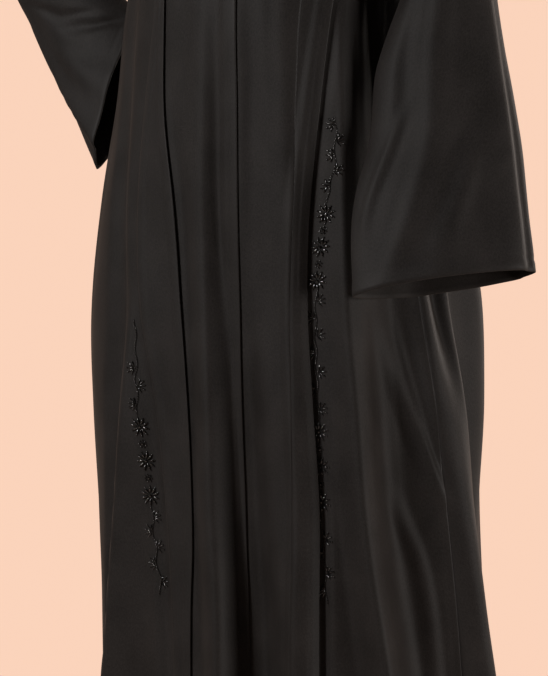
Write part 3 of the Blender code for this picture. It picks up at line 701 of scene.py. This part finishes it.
def crepe_material(name, dark, light, roughness, sheen, bump):
    """Crepe: its tone goes from dark to light with the grain, its borders are smoother, as pressed cloth is,
    and painted a little lighter as a painted sheen, and the pebbles stand up as a bump."""
    material = bpy.data.materials.new(name)
    material.use_nodes = True
    nodes, links = material.node_tree.nodes, material.node_tree.links
    shader = nodes["Principled BSDF"]
    shader.inputs["Sheen Weight"].default_value = sheen
    shader.inputs["Sheen Roughness"].default_value = 0.45
    shader.inputs["Sheen Tint"].default_value = (1.0, 0.93, 0.88, 1)
    shader.inputs["Specular IOR Level"].default_value = CREPE_SPECULAR
    weave = nodes.new("ShaderNodeGroup")
    weave.node_tree = grain
    tone = nodes.new("ShaderNodeMapRange")
    tone.inputs["From Min"].default_value = 0.34
    tone.inputs["From Max"].default_value = 0.66
    # shade mixes the grain's two tones; pressed lays a painted sheen, a lighter colour, over the borders
    shade, pressed = (nodes.new("ShaderNodeMix") for _ in range(2))
    for mix in (shade, pressed):
        mix.data_type = "RGBA"
    shade.inputs["A"].default_value = dark
    shade.inputs["B"].default_value = light
    pressed.inputs["B"].default_value = CREPE_PRESSED_SHEEN
    border = nodes.new("ShaderNodeAttribute")
    border.attribute_name = "edge"
    sheen_share = nodes.new("ShaderNodeMath")
    sheen_share.operation = "MULTIPLY"
    sheen_share.inputs[1].default_value = 0.45
    worn = nodes.new("ShaderNodeMapRange")
    worn.inputs["To Min"].default_value = roughness
    worn.inputs["To Max"].default_value = roughness - 0.12
    relief = nodes.new("ShaderNodeBump")
    relief.inputs["Strength"].default_value = bump
    relief.inputs["Distance"].default_value = 0.0004
    links.new(weave.outputs["Tone"], tone.inputs["Value"])
    links.new(tone.outputs["Result"], shade.inputs["Factor"])
    links.new(border.outputs["Fac"], sheen_share.inputs[0])
    links.new(sheen_share.outputs["Value"], pressed.inputs["Factor"])
    links.new(shade.outputs["Result"], pressed.inputs["A"])
    links.new(pressed.outputs["Result"], shader.inputs["Base Color"])
    links.new(border.outputs["Fac"], worn.inputs["Value"])
    links.new(worn.outputs["Result"], shader.inputs["Roughness"])
    links.new(weave.outputs["Height"], relief.inputs["Height"])
    links.new(relief.outputs["Normal"], shader.inputs["Normal"])
    return material


crepe_face = crepe_material("crepe_face", CREPE_DARK, CREPE_LIGHT, 0.62, 0.05, 0.55)
# The inside's lighter tones are painted bounce light from the floor
crepe_inside_painted_bounce = crepe_material("crepe_inside_painted_bounce", INSIDE_DARK_PAINTED_BOUNCE, INSIDE_LIGHT_PAINTED_BOUNCE, 0.72, 0.04, 0.45)
crepe = (crepe_face, crepe_inside_painted_bounce)

BACK_COLUMNS = 168
level = body_levels()
low = np.minimum(level, CHEST_Z)
hole = armhole_angle(level)
half_seam = math.degrees(0.5 * SEAM_GAP / 0.17)
first = edge_angle("side_left", low) + hole + half_seam
last = 360 + edge_angle("side_right", low) - hole - half_seam
angle = first + close_at_the_ends(BACK_COLUMNS) * (last - first)
back, back_grid = body_cloth("back", angle, level, None, sewn=("first", "last"), turned=())

# The side cloths: each is sewn to the back down its side seam and round the front half of the
# armhole, and its front edge runs free under the strip that laps it. They carry the beads.
SIDE_LEFT_COLUMNS = 66
SIDE_RIGHT_COLUMNS = 60
UNDERLAP_SIDE = 5.0
UNDERLAP_SHARE = 0.40

strip_width = edge_angle("slit_left", low) - edge_angle("crease_left", low)
under = np.minimum(UNDERLAP_SIDE, 2 * UNDERLAP_SHARE * strip_width)
first = edge_angle("slit_left", low) - under
last = edge_angle("side_left", low) - hole - half_seam
angle = first + close_at_the_ends(SIDE_LEFT_COLUMNS) * (last - first)
side_left, side_left_grid = body_cloth("side_left", angle, level, None, sewn=("last",), turned=())

strip_width = edge_angle("tuck_right", low) - edge_angle("slit_right", low)
under_strip_right = np.minimum(UNDERLAP_SIDE, UNDERLAP_SHARE * strip_width)
first = edge_angle("side_right", low) + hole + half_seam
last = edge_angle("slit_right", low) + under_strip_right
angle = first + close_at_the_ends(SIDE_RIGHT_COLUMNS) * (last - first)
side_right, side_right_grid = body_cloth("side_right", angle, level, None, sewn=("first",), turned=())

# The embroidery: a garland of black glass beads, sewn by hand down each side cloth beside its slit.
# A wavy stem of seed beads carries sprigs of bugles, and twice three daisies with rosettes between.
# Places along the garlands: heights, with their angles round the section on each side
GARLAND_LEFT = (
    (-0.470, 38.0), (-0.492, 37.0), (-0.528, 35.5), (-0.556, 33.2), (-0.572, 31.2), (-0.588, 30.8),
    (-0.624, 28.0), (-0.660, 26.2), (-0.688, 25.2), (-0.720, 24.5), (-0.800, 24.2), (-0.860, 24.5),
    (-0.916, 24.8), (-0.948, 25.0), (-1.004, 25.8), (-1.040, 26.2),
)
GARLAND_RIGHT = (
    (-0.600, -34.0), (-0.696, -33.2), (-0.724, -33.0), (-0.744, -32.5), (-0.784, -32.2), (-0.836, -31.2),
    (-0.876, -29.8), (-0.916, -29.0), (-0.948, -28.5), (-0.996, -27.2), (-1.024, -26.2), (-1.050, -25.8),
)
GARLAND_RIGHT_FROM = -0.712
SPRIGS_RIGHT_FROM = -0.765
STEM_TOP, STEM_END = -0.478, -1.036
STEM_WAVE, STEM_SWING = 0.036, 1.7
STEM_STEP = 0.0029
DAISY_HEIGHTS = (-0.588, -0.6255, -0.6645, -0.838, -0.878, -0.919)
ROSETTE_HEIGHTS = (-0.6065, -0.6455, -0.858, -0.8985)
SPRIG_HEIGHTS = (
    -0.486, -0.5035, -0.521, -0.5385, -0.556, -0.688, -0.708, -0.727, -0.748, -0.769, -0.790, -0.812,
    -0.945, -0.962, -0.980, -1.000, -1.021,
)
# Millimetres from a flower's middle to its ring of petals, tips or seeds, and degrees between flowers
PETALS, PETALS_AT, TIPS_AT, DAISY_TURN = 10, 6.3, 10.9, 14.0
ROSETTE_SEEDS, ROSETTE_AT, ROSETTE_TURN = 7, 3.9, 20.0
# A sprig: headings of its bugles, and how far it, its bugles and its tips stand from the stem or base
SPRIG_HEADINGS = (14.0, 46.0, 78.0, 110.0, 142.0)
SPRIG_OUT, BUGLES_AT, SPRIG_TIPS_AT, SPRIG_SWAY = 1.6, 5.3, 9.6, 9.0
# How near the stem comes to the middle of a daisy or rosette
STEM_CLEAR_OF_DAISY, STEM_CLEAR_OF_ROSETTE = 0.0128, 0.0090
BEADS_CLEAR_OF_SLIT = 0.35
BEAD_TILT = 0.14
# Each kind of bead: length, width and height in millimetres
BEAD_SIZES = {
    "seed": (2.0, 2.2, 2.2),
    "drop": (7.2, 3.0, 2.6),
    "bugle": (6.4, 1.6, 1.8),
    "stone": (4.2, 4.2, 2.8),
}


def turned_bead(profile, sides):
    """A bead turned about its length: rings at the profile's places and radii, closed by a point at
    either end, as triangles. Length, width and height run from -0.5 to 0.5."""
    places, radii = np.array(profile).T
    turn = np.linspace(0, 2 * math.pi, sides, endpoint=False)
    rings = np.stack(np.broadcast_arrays(
        places[:, None], radii[:, None] * np.cos(turn), radii[:, None] * np.sin(turn)), -1).reshape(-1, 3)
    points = np.concatenate([[(-0.5, 0, 0)], rings, [(0.5, 0, 0)]])
    k = np.arange(sides)
    after = (k + 1) % sides
    last = 1 + (len(profile) - 1) * sides
    faces = [
        np.stack([0 * k, 1 + after, 1 + k], 1),
        np.stack([0 * k + last + sides, last + k, last + after], 1),
    ]
    for ring in range(len(profile) - 1):
        a, b = 1 + ring * sides + k, 1 + ring * sides + after
        faces += [np.stack([a, b, b + sides], 1), np.stack([a, b + sides, a + sides], 1)]
    return points, np.concatenate(faces)


BEAD_SHAPES = {
    "seed": turned_bead(((-0.42, 0.30), (0.0, 0.5), (0.42, 0.30)), 6),
    "drop": turned_bead(((-0.46, 0.14), (-0.15, 0.34), (0.16, 0.49), (0.36, 0.44), (0.47, 0.22)), 8),
    "bugle": turned_bead(((-0.5, 0.36), (-0.42, 0.5), (0.42, 0.5), (0.5, 0.36)), 6),
    "stone": turned_bead(((-0.46, 0.20), (-0.20, 0.42), (0.20, 0.42), (0.46, 0.20)), 8),
}


def round_flower(kind, count, radius, turn, height):
    """Beads of one kind set like spokes: (kind, across, up, heading) at even steps round a circle."""
    heading = turn + np.arange(count) * 360 / count
    spread = np.radians(heading)
    return kind, radius * np.sin(spread), radius * np.cos(spread) + height * 1000, heading


def garland_beads(mirrored, sprigs_from):
    """All the beads of a garland as rows of (kind, across, up, heading): across and up in millimetres
    from the garland's line, the heading in degrees from up towards the line's right."""
    side = -1 if mirrored else 1
    rows = []
    for number, height in enumerate(DAISY_HEIGHTS):
        turn = DAISY_TURN * number
        rows.append(round_flower("drop", PETALS, PETALS_AT, turn, height))
        rows.append(round_flower("seed", PETALS, TIPS_AT, turn, height))
        rows.append(round_flower("stone", 1, 0.0, 0.0, height))
    for number, height in enumerate(ROSETTE_HEIGHTS):
        rows.append(round_flower("seed", ROSETTE_SEEDS, ROSETTE_AT, ROSETTE_TURN * number, height))
        rows.append(round_flower("stone", 1, 0.0, 0.0, height))
    for number, height in enumerate(SPRIG_HEIGHTS):
        if height > sprigs_from:
            continue
        out = 1 if number % 2 else -1
        heading = out * np.array(SPRIG_HEADINGS) + SPRIG_SWAY * math.sin(2.3 * number)
        base, up = out * SPRIG_OUT, height * 1000
        for kind, at, chosen in (("bugle", BUGLES_AT, slice(None)), ("seed", SPRIG_TIPS_AT, slice(1, 4))):
            spread = np.radians(heading[chosen])
            rows.append((kind, base + at * np.sin(spread), at * np.cos(spread) + up, heading[chosen]))
        rows.append(("seed", np.array([base]), np.array([up]), np.array([0.0])))
    stem = np.arange(STEM_TOP, STEM_END, -STEM_STEP)
    phase = 2 * math.pi * stem / STEM_WAVE
    slope = STEM_SWING / 1000 * 2 * math.pi / STEM_WAVE * np.cos(phase)
    flowers = np.array(DAISY_HEIGHTS + ROSETTE_HEIGHTS)
    reach = np.repeat(
        (STEM_CLEAR_OF_DAISY, STEM_CLEAR_OF_ROSETTE), (len(DAISY_HEIGHTS), len(ROSETTE_HEIGHTS)))
    free = (np.abs(stem[:, None] - flowers) > reach).all(1)
    across, heading = STEM_SWING * np.sin(phase), np.degrees(np.arctan(slope))
    rows.append(("seed", across[free], 1000 * stem[free], heading[free]))
    return [(kind, side * across, up, side * heading) for kind, across, up, heading in rows]


def bead_piece(name, kinds, points, normals, ups, headings, material):
    """Many beads as one mesh. Each is its kind's turned shape, its length laid along its heading and
    its height along the cloth's normal, both tilted a little by a seeded draw, as sewn beads sit. A
    stone is turned about its height, so its ends are its top and bottom."""
    draws = np.random.default_rng(7)
    corners, faces, smooth_faces, start = [], [], [], 0
    for kind in BEAD_SHAPES:
        chosen = np.array([k == kind for k in kinds])
        n = normals[chosen] + draws.normal(0, BEAD_TILT, (chosen.sum(), 3))
        n /= np.linalg.norm(n, axis=1, keepdims=True)
        up = ups[chosen] - (ups[chosen] * n).sum(1, keepdims=True) * n
        up /= np.linalg.norm(up, axis=1, keepdims=True)
        turn = np.radians(headings[chosen])[:, None]
        along = np.cos(turn) * up + np.sin(turn) * np.cross(up, n)
        beside = np.cross(n, along)
        length, width, height = (size / 1000 for size in BEAD_SIZES[kind])
        centre = points[chosen] + 0.42 * height * normals[chosen]
        shape, shape_faces = BEAD_SHAPES[kind]
        x, y, z = (shape[None, :, i, None] for i in range(3))
        if kind == "stone":
            x, z = z, x
        placed = centre[:, None] + length * x * along[:, None]
        placed = placed + width * y * beside[:, None] + height * z * n[:, None]
        order = slice(None, None, -1) if kind == "stone" else slice(None)
        copies = np.arange(len(placed))[:, None, None] * len(shape)
        faces.append((shape_faces[None, :, order] + copies + start).reshape(-1, 3))
        smooth_faces.append(np.full(len(faces[-1]), kind != "stone"))
        corners.append(placed.reshape(-1, 3))
        start += corners[-1].shape[0]
    corners, faces = np.concatenate(corners), np.concatenate(faces)
    mesh = bpy.data.meshes.new(name)
    mesh.vertices.add(len(corners))
    mesh.vertices.foreach_set("co", corners.ravel())
    mesh.loops.add(faces.size)
    mesh.loops.foreach_set("vertex_index", faces.ravel().astype(np.int32))
    mesh.polygons.add(len(faces))
    mesh.polygons.foreach_set("loop_start", np.arange(0, faces.size, 3, dtype=np.int32))
    mesh.polygons.foreach_set("use_smooth", np.concatenate(smooth_faces))
    mesh.update(calc_edges=True)
    mesh.materials.append(material)
    piece = bpy.data.objects.new(name, mesh)
    bpy.context.scene.collection.objects.link(piece)
    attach(piece, "root")
    return piece


def garland(name, line, slit, mirrored, top, sprigs_from, material):
    """A garland sewn on a side cloth: each bead's place across the line is turned into degrees by the
    cloth's own length for a degree there, and beads that would lie under the strip are left out."""
    rows = garland_beads(mirrored, sprigs_from)
    kinds = [kind for kind, across, _, _ in rows for _ in across]
    across, up, heading = (
        np.concatenate([np.broadcast_to(row[i], row[1].shape) for row in rows]) for i in (1, 2, 3))
    z = up / 1000
    heights, angles = np.array(line).T
    middle = smooth(heights, angles, z)
    degree = np.linalg.norm(cloth_point(middle + 0.5, z) - cloth_point(middle - 0.5, z), axis=-1)
    angle = middle + across / 1000 / degree
    past_slit = (angle - edge_angle(slit, z)) * (-1 if mirrored else 1)
    kept = (past_slit > BEADS_CLEAR_OF_SLIT) & (z < top)
    angle, z, heading = angle[kept], z[kept], heading[kept]
    kinds = [kind for kind, keep in zip(kinds, kept) if keep]
    ups = cloth_point(angle, z + 0.002) - cloth_point(angle, z - 0.002)
    return bead_piece(name, kinds, cloth_point(angle, z), cloth_normal(angle, z), ups, heading, material)


JET = (0.0035, 0.0034, 0.0038, 1)
JET_WORN = (0.008, 0.0075, 0.0075, 1)
jet = bpy.data.materials.new("jet_glass")
jet.use_nodes = True
nodes, links = jet.node_tree.nodes, jet.node_tree.links
jet_shader = nodes["Principled BSDF"]
jet_shader.inputs["Specular IOR Level"].default_value = 0.8
where = nodes.new("ShaderNodeTexCoord")
cloudy = nodes.new("ShaderNodeTexNoise")
cloudy.inputs["Scale"].default_value = 900.0
gloss = nodes.new("ShaderNodeMapRange")
gloss.inputs["From Min"].default_value = 0.35
gloss.inputs["From Max"].default_value = 0.70
gloss.inputs["To Min"].default_value = 0.04
gloss.inputs["To Max"].default_value = 0.12
body = nodes.new("ShaderNodeMix")
body.data_type = "RGBA"
body.inputs["A"].default_value = JET
body.inputs["B"].default_value = JET_WORN
links.new(where.outputs["Object"], cloudy.inputs["Vector"])
links.new(cloudy.outputs["Fac"], gloss.inputs["Value"])
links.new(cloudy.outputs["Fac"], body.inputs["Factor"])
links.new(gloss.outputs["Result"], jet_shader.inputs["Roughness"])
links.new(body.outputs["Result"], jet_shader.inputs["Base Color"])

beads_left = garland("beads_left", GARLAND_LEFT, "slit_left", False, 0, 0, jet)
beads_right = garland(
    "beads_right", GARLAND_RIGHT, "slit_right", True, GARLAND_RIGHT_FROM, SPRIGS_RIGHT_FROM, jet)

# The fronts: two long cloths that lap at the centre, the wearer's right over the left, closed by
# hidden studs in the lap. The lap's edge is turned in, and the other edges are sewn to the strips.
FRONT_COLUMNS = 46
UNDERLAP_CENTRE = 3.5
LIFT_FADE = 9.0


def left_lift(angle, z, low):
    """How far the left front and its strip stand off: the strip's lift over the beaded cloth under it,
    fading to nothing away from the edge."""
    near = ease((LIFT_FADE - (edge_angle("slit_left", low) - angle)) / (LIFT_FADE - UNDERLAP_SIDE))
    return edge_lift("slit_left", z) * near


# The height at which the lifts are read: above the chest it runs from the chest's own up to 0
z = np.where(level > CHEST_Z, CHEST_Z * (1 - np.clip(level - CHEST_Z, 0, 1)), level)

first = edge_angle("centre", low) - UNDERLAP_CENTRE
last = edge_angle("crease_left", low) - half_seam
angle = first + close_at_the_ends(FRONT_COLUMNS) * (last - first)
lift = left_lift(angle, z, low)
front_left, _ = body_cloth("front_left", angle, level, lift, sewn=("last",), turned=("first",))

first = edge_angle("tuck_right", low) - under_strip_right
last = edge_angle("centre", low)
angle = first + close_at_the_ends(FRONT_COLUMNS) * (last - first)
near_lap = ease((2 * UNDERLAP_CENTRE - (last - angle)) / UNDERLAP_CENTRE)
lift = edge_lift("centre", z) * near_lap
front_right, _ = body_cloth("front_right", angle, level, lift, sewn=(), turned=("last",))

# The strips: a narrow turned strip runs down the outer side of each front, from the shoulder to
# the hem. It stands off the beaded cloth below, so that a deep dark slit opens along its edge.
STRIP_COLUMNS = 24

first = edge_angle("crease_left", low) + half_seam
last = edge_angle("slit_left", low)
angle = first + close_at_the_ends(STRIP_COLUMNS) * (last - first)
lift = left_lift(angle, z, low)
strip_left, _ = body_cloth("strip_left", angle, level, lift, sewn=("first",), turned=("last",))

first = edge_angle("slit_right", low)
last = edge_angle("tuck_right", low)
angle = first + close_at_the_ends(STRIP_COLUMNS) * (last - first)
share = (angle - first) / (last - first)
outer_lift, inner_lift = edge_lift("slit_right", z), edge_lift("tuck_right", z)
lift = outer_lift + ease(share) * (inner_lift - outer_lift)
strip_right, _ = body_cloth("strip_right", angle, level, lift, sewn=(), turned=("first", "last"))

# The sleeves: wide tubes sewn into the armholes, with a narrow stitched hem. The left one hangs
# beside the hip and the right one follows a bent arm. Each keeps a pressed fold down its outer side.
# Stations after the armhole: outer and inner ends of each flat ring, half-depth, turn and fall
SLEEVE_LEFT = (
    ((0.230, 0.004, -0.106), (0.184, -0.004, -0.270), 0.072, 3.0, 0.05),
    ((0.246, -0.001, -0.200), (0.177, -0.030, -0.300), 0.061, 9.0, 0.12),
    ((0.264, -0.010, -0.300), (0.165, -0.058, -0.350), 0.051, 15.0, 0.20),
    ((0.281, -0.018, -0.395), (0.151, -0.087, -0.419), 0.044, 20.0, 0.26),
    ((0.304, -0.030, -0.490), (0.150, -0.106, -0.503), 0.039, 23.0, 0.30),
    ((0.322, -0.049, -0.573), (0.141, -0.136, -0.589), 0.035, 25.0, 0.32),
    ((0.3365, -0.064, -0.654), (0.150, -0.153, -0.682), 0.032, 25.0, 0.32),
)
SLEEVE_RIGHT = (
    ((-0.262, 0.022, -0.092), (-0.214, 0.012, -0.258), 0.070, 0.0, 0.00),
    ((-0.334, 0.046, -0.140), (-0.244, 0.030, -0.258), 0.058, -2.0, 0.05),
    ((-0.400, 0.068, -0.205), (-0.268, 0.046, -0.266), 0.049, -4.0, 0.10),
    ((-0.424, 0.080, -0.280), (-0.276, 0.056, -0.288), 0.043, -6.0, 0.15),
    ((-0.386, 0.071, -0.350), (-0.266, 0.062, -0.308), 0.037, -8.0, 0.20),
    ((-0.335, 0.053, -0.435), (-0.247, 0.066, -0.324), 0.031, -9.0, 0.22),
    ((-0.272, 0.021, -0.530), (-0.228, 0.068, -0.337), 0.026, -9.5, 0.22),
)
RING_POINTS = 2 * (ROWS_ARMHOLE + ROWS_SHOULDER)
RINGS_PER_STATION = 17
FLATNESS = 0.82
PINCH_FROM = 2.5
CUFF_PINCH = 0.45
ARMHOLE_FADE = 1.2
ARMHOLE_GAP = 0.0005
SLEEVE_HEM = 0.013

# Folds of the sleeves: name, reach before and after the crest in degrees round the ring, then
# (station, crest's place in degrees round the ring, height in millimetres)
SLEEVE_FOLDS_LEFT = (
    ("pressed_groove", 11.0, 34.0, ((2.2, 36, 0), (3.5, 39, -4), (4.35, 41, -6), (5.1, 41, -7),
     (5.8, 38, -6), (6.9, 36, -4), (7.0, 36, -3))),
    ("pressed_band", 9.0, 9.0, ((2.2, 24, 0), (3.5, 26, 1), (4.35, 27, 1.5), (5.1, 27, 1.5),
     (5.8, 25, 1.5), (7.0, 23, 1))),
    ("long_trough", 15.0, 13.0, ((2.4, 88, 0), (3.4, 92, -4), (4.6, 96, -5.5), (5.45, 99, -6),
     (6.2, 106, -5), (6.7, 119, -2), (7.0, 128, 0))),
    ("long_swell", 15.0, 15.0, ((3.0, 118, 0), (4.0, 120, 3), (5.0, 122, 3), (6.0, 132, 2),
     (7.0, 140, 0))),
    ("low_trough", 10.0, 10.0, ((5.2, 70, 0), (5.75, 77, -3.5), (6.5, 88, -4), (6.9, 91, -2),
     (7.0, 92, -1))),
    ("inner_trough", 10.0, 9.0, ((4.6, 118, 0), (5.05, 128, -3), (5.6, 136, -3.5), (5.95, 142, -2),
     (6.4, 150, 0))),
    ("back_trough", 16.0, 16.0, ((1.5, 262, 0), (3.0, 266, -5), (5.0, 262, -6), (7.0, 258, -3))),
    ("back_groove", 22.0, 8.0, ((2.2, 322, 0), (4.0, 320, -5), (7.0, 322, -3))),
    ("elbow_drag_1", 16.0, 18.0, ((1.4, 60, 0), (1.9, 80, 4), (2.3, 104, 3), (2.6, 130, 0))),
    ("elbow_drag_2", 16.0, 18.0, ((1.9, 228, 0), (2.4, 258, 4), (2.9, 288, 3), (3.3, 308, 0))),
)
SLEEVE_FOLDS_RIGHT = (
    ("pressed_groove", 7.0, 26.0, ((3.6, 34, 0), (4.6, 30, -4), (5.3, 24, -5), (5.95, 28, -6),
     (6.55, 39, -6), (7.0, 47, -5))),
    ("arm_fold", 12.0, 16.0, ((5.2, 74, 0), (5.6, 90, 4), (5.95, 107, 5), (6.2, 122, 4),
     (6.65, 139, 2), (7.0, 148, 0))),
    ("elbow_crease_1", 12.0, 12.0, ((4.7, 50, 0), (5.0, 72, 4), (5.25, 84, 4), (5.5, 104, 2),
     (5.8, 120, 0))),
    ("elbow_crease_2", 12.0, 12.0, ((3.0, 60, 0), (3.4, 90, 5), (3.8, 116, 4), (4.2, 140, 0))),
    ("elbow_crease_3", 14.0, 14.0, ((2.0, 50, 0), (2.4, 84, 4), (2.8, 120, 3), (3.2, 144, 0))),
    ("soft_trough", 16.0, 14.0, ((5.6, 62, 0), (6.1, 72, -3), (6.6, 84, -3.5), (7.0, 92, -3))),
    ("back_fold_1", 15.0, 15.0, ((2.6, 220, 0), (3.2, 256, 5), (3.7, 292, 4), (4.1, 318, 0))),
    ("back_fold_2", 14.0, 14.0, ((3.8, 214, 0), (4.4, 248, 4), (5.0, 282, 4), (5.5, 312, 0))),
    ("back_groove", 20.0, 8.0, ((4.2, 322, 0), (5.4, 322, -4), (7.0, 318, -3))),
)


def armhole_ring(front, back_side, out_of_body):
    """The armhole's edge as a ring just clear of the body's cloths. It goes from the shoulder's tip
    down the front cloth's edge and up the back's."""
    ring = np.concatenate([front[::-1], back_side[1:-1]])
    ring[0] = (front[-1] + back_side[-1]) / 2
    onward = np.roll(ring, -1, 0) - np.roll(ring, 1, 0)
    centre = ring.mean(0)
    facing = np.cross(onward, ring - centre)
    facing *= np.sign(facing.sum(0) @ out_of_body)
    return ring + ARMHOLE_GAP * facing / np.linalg.norm(facing, axis=-1, keepdims=True)


def sleeve_ring(way, outer, inner, half_depth, turn, fall, pinch):
    """A flattened ring: along the line between its outer and inner ends it follows the cosine of the
    way round, drawn out towards the ends, and square to that line the sine times the half-depth. The
    sine's power is one more than the pinch, which draws the ends in to a crease."""
    centre, half = (outer + inner) / 2, (outer - inner) / 2
    depth = np.array([math.sin(math.radians(turn)), -math.cos(math.radians(turn)), fall])
    depth -= half * (depth @ half) / (half @ half)
    depth *= half_depth / np.linalg.norm(depth)
    long = np.sign(np.cos(way)) * np.abs(np.cos(way)) ** FLATNESS
    wide = np.sin(way) * np.abs(np.sin(way)) ** pinch
    return centre + long[:, None] * half + wide[:, None] * depth


def sleeve_grid(stations, folds, first_ring, mirrored):
    """A sleeve's outer points, rings from the cuff up to the armhole. The ends and sizes of the rings
    run smoothly through the stations, the armhole's own outline fades out over the first of them,
    and the folds are added square to the cloth."""
    half = RING_POINTS // 2
    way = np.linspace(0, 2 * math.pi, RING_POINTS, endpoint=False)
    start_depth = 0.5 * np.linalg.norm(first_ring[RING_POINTS // 4] - first_ring[half + RING_POINTS // 4])
    outer_ends = np.array([first_ring[0]] + [row[0] for row in stations])
    inner_ends = np.array([first_ring[half]] + [row[1] for row in stations])
    sizes = np.array([(start_depth, 0.0, 0.0)] + [row[2:] for row in stations])
    count = len(stations)
    place = np.arange(count + 1, dtype=float)
    down = first_ring[half] - first_ring[0]
    share = ((first_ring - first_ring[0]) @ down / (down @ down))[:, None]
    where = np.linspace(0, count, count * RINGS_PER_STATION + 1)
    rings = [first_ring]
    for wanted in where[1:]:
        outer, inner = smooth(place, outer_ends, wanted), smooth(place, inner_ends, wanted)
        pinch = CUFF_PINCH * ease((wanted - PINCH_FROM) / (count - PINCH_FROM))
        ring = sleeve_ring(way, outer, inner, *smooth(place, sizes, wanted), pinch)
        keep = ease(1 - wanted / ARMHOLE_FADE)
        carried = first_ring + (1 - share) * (outer - first_ring[0]) + share * (inner - first_ring[half])
        rings.append(ring + keep * (carried - ring))
    grid = np.array(rings)
    out = np.zeros(grid.shape[:2])
    round_ring, station = np.degrees(way)[None, :], where[:, None]
    for _, before, after, line in folds:
        places, crests, heights = np.array(line, float).T
        crest, height = smooth(places, crests, station), smooth(places, heights, station)
        out += one_fold(round_ring, crest, before, after, height)
    for round_waves, along_waves, phase, height in CRUMPLES:
        wave = np.sin(way[None, :] * round(round_waves / 3) + along_waves * station + phase)
        out += height * wave * ease(station)
    normals = grid_normals(grid, True) * (-1 if mirrored else 1)
    grid = grid - out[..., None] / 1000 * normals
    return grid[::-1, ::-1] if not mirrored else grid[::-1]


def sleeve(node, stations, folds, first_ring, mirrored):
    """A sleeve that stands for a node: its rings, moved out along their normals at the narrow hem."""
    grid = sleeve_grid(stations, folds, first_ring, mirrored)
    grid = grid + hem_rise(grid, SLEEVE_HEM, 1.0)[..., None] * grid_normals(grid, True)
    piece = cloth_piece(node + "_cloth", grid, grid_normals(grid, True), True, crepe)
    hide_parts(node)
    return piece


armhole = slice(ROWS_SKIRT - 1, None)
left_ring = armhole_ring(side_left_grid[armhole, -1], back_grid[armhole, 0], (1, 0, 0))
sleeve_left = sleeve("sleeve_left", SLEEVE_LEFT, SLEEVE_FOLDS_LEFT, left_ring, False)

right_ring = armhole_ring(side_right_grid[armhole, 0], back_grid[armhole, -1], (-1, 0, 0))
sleeve_right = sleeve("sleeve_right", SLEEVE_RIGHT, SLEEVE_FOLDS_RIGHT, right_ring, True)
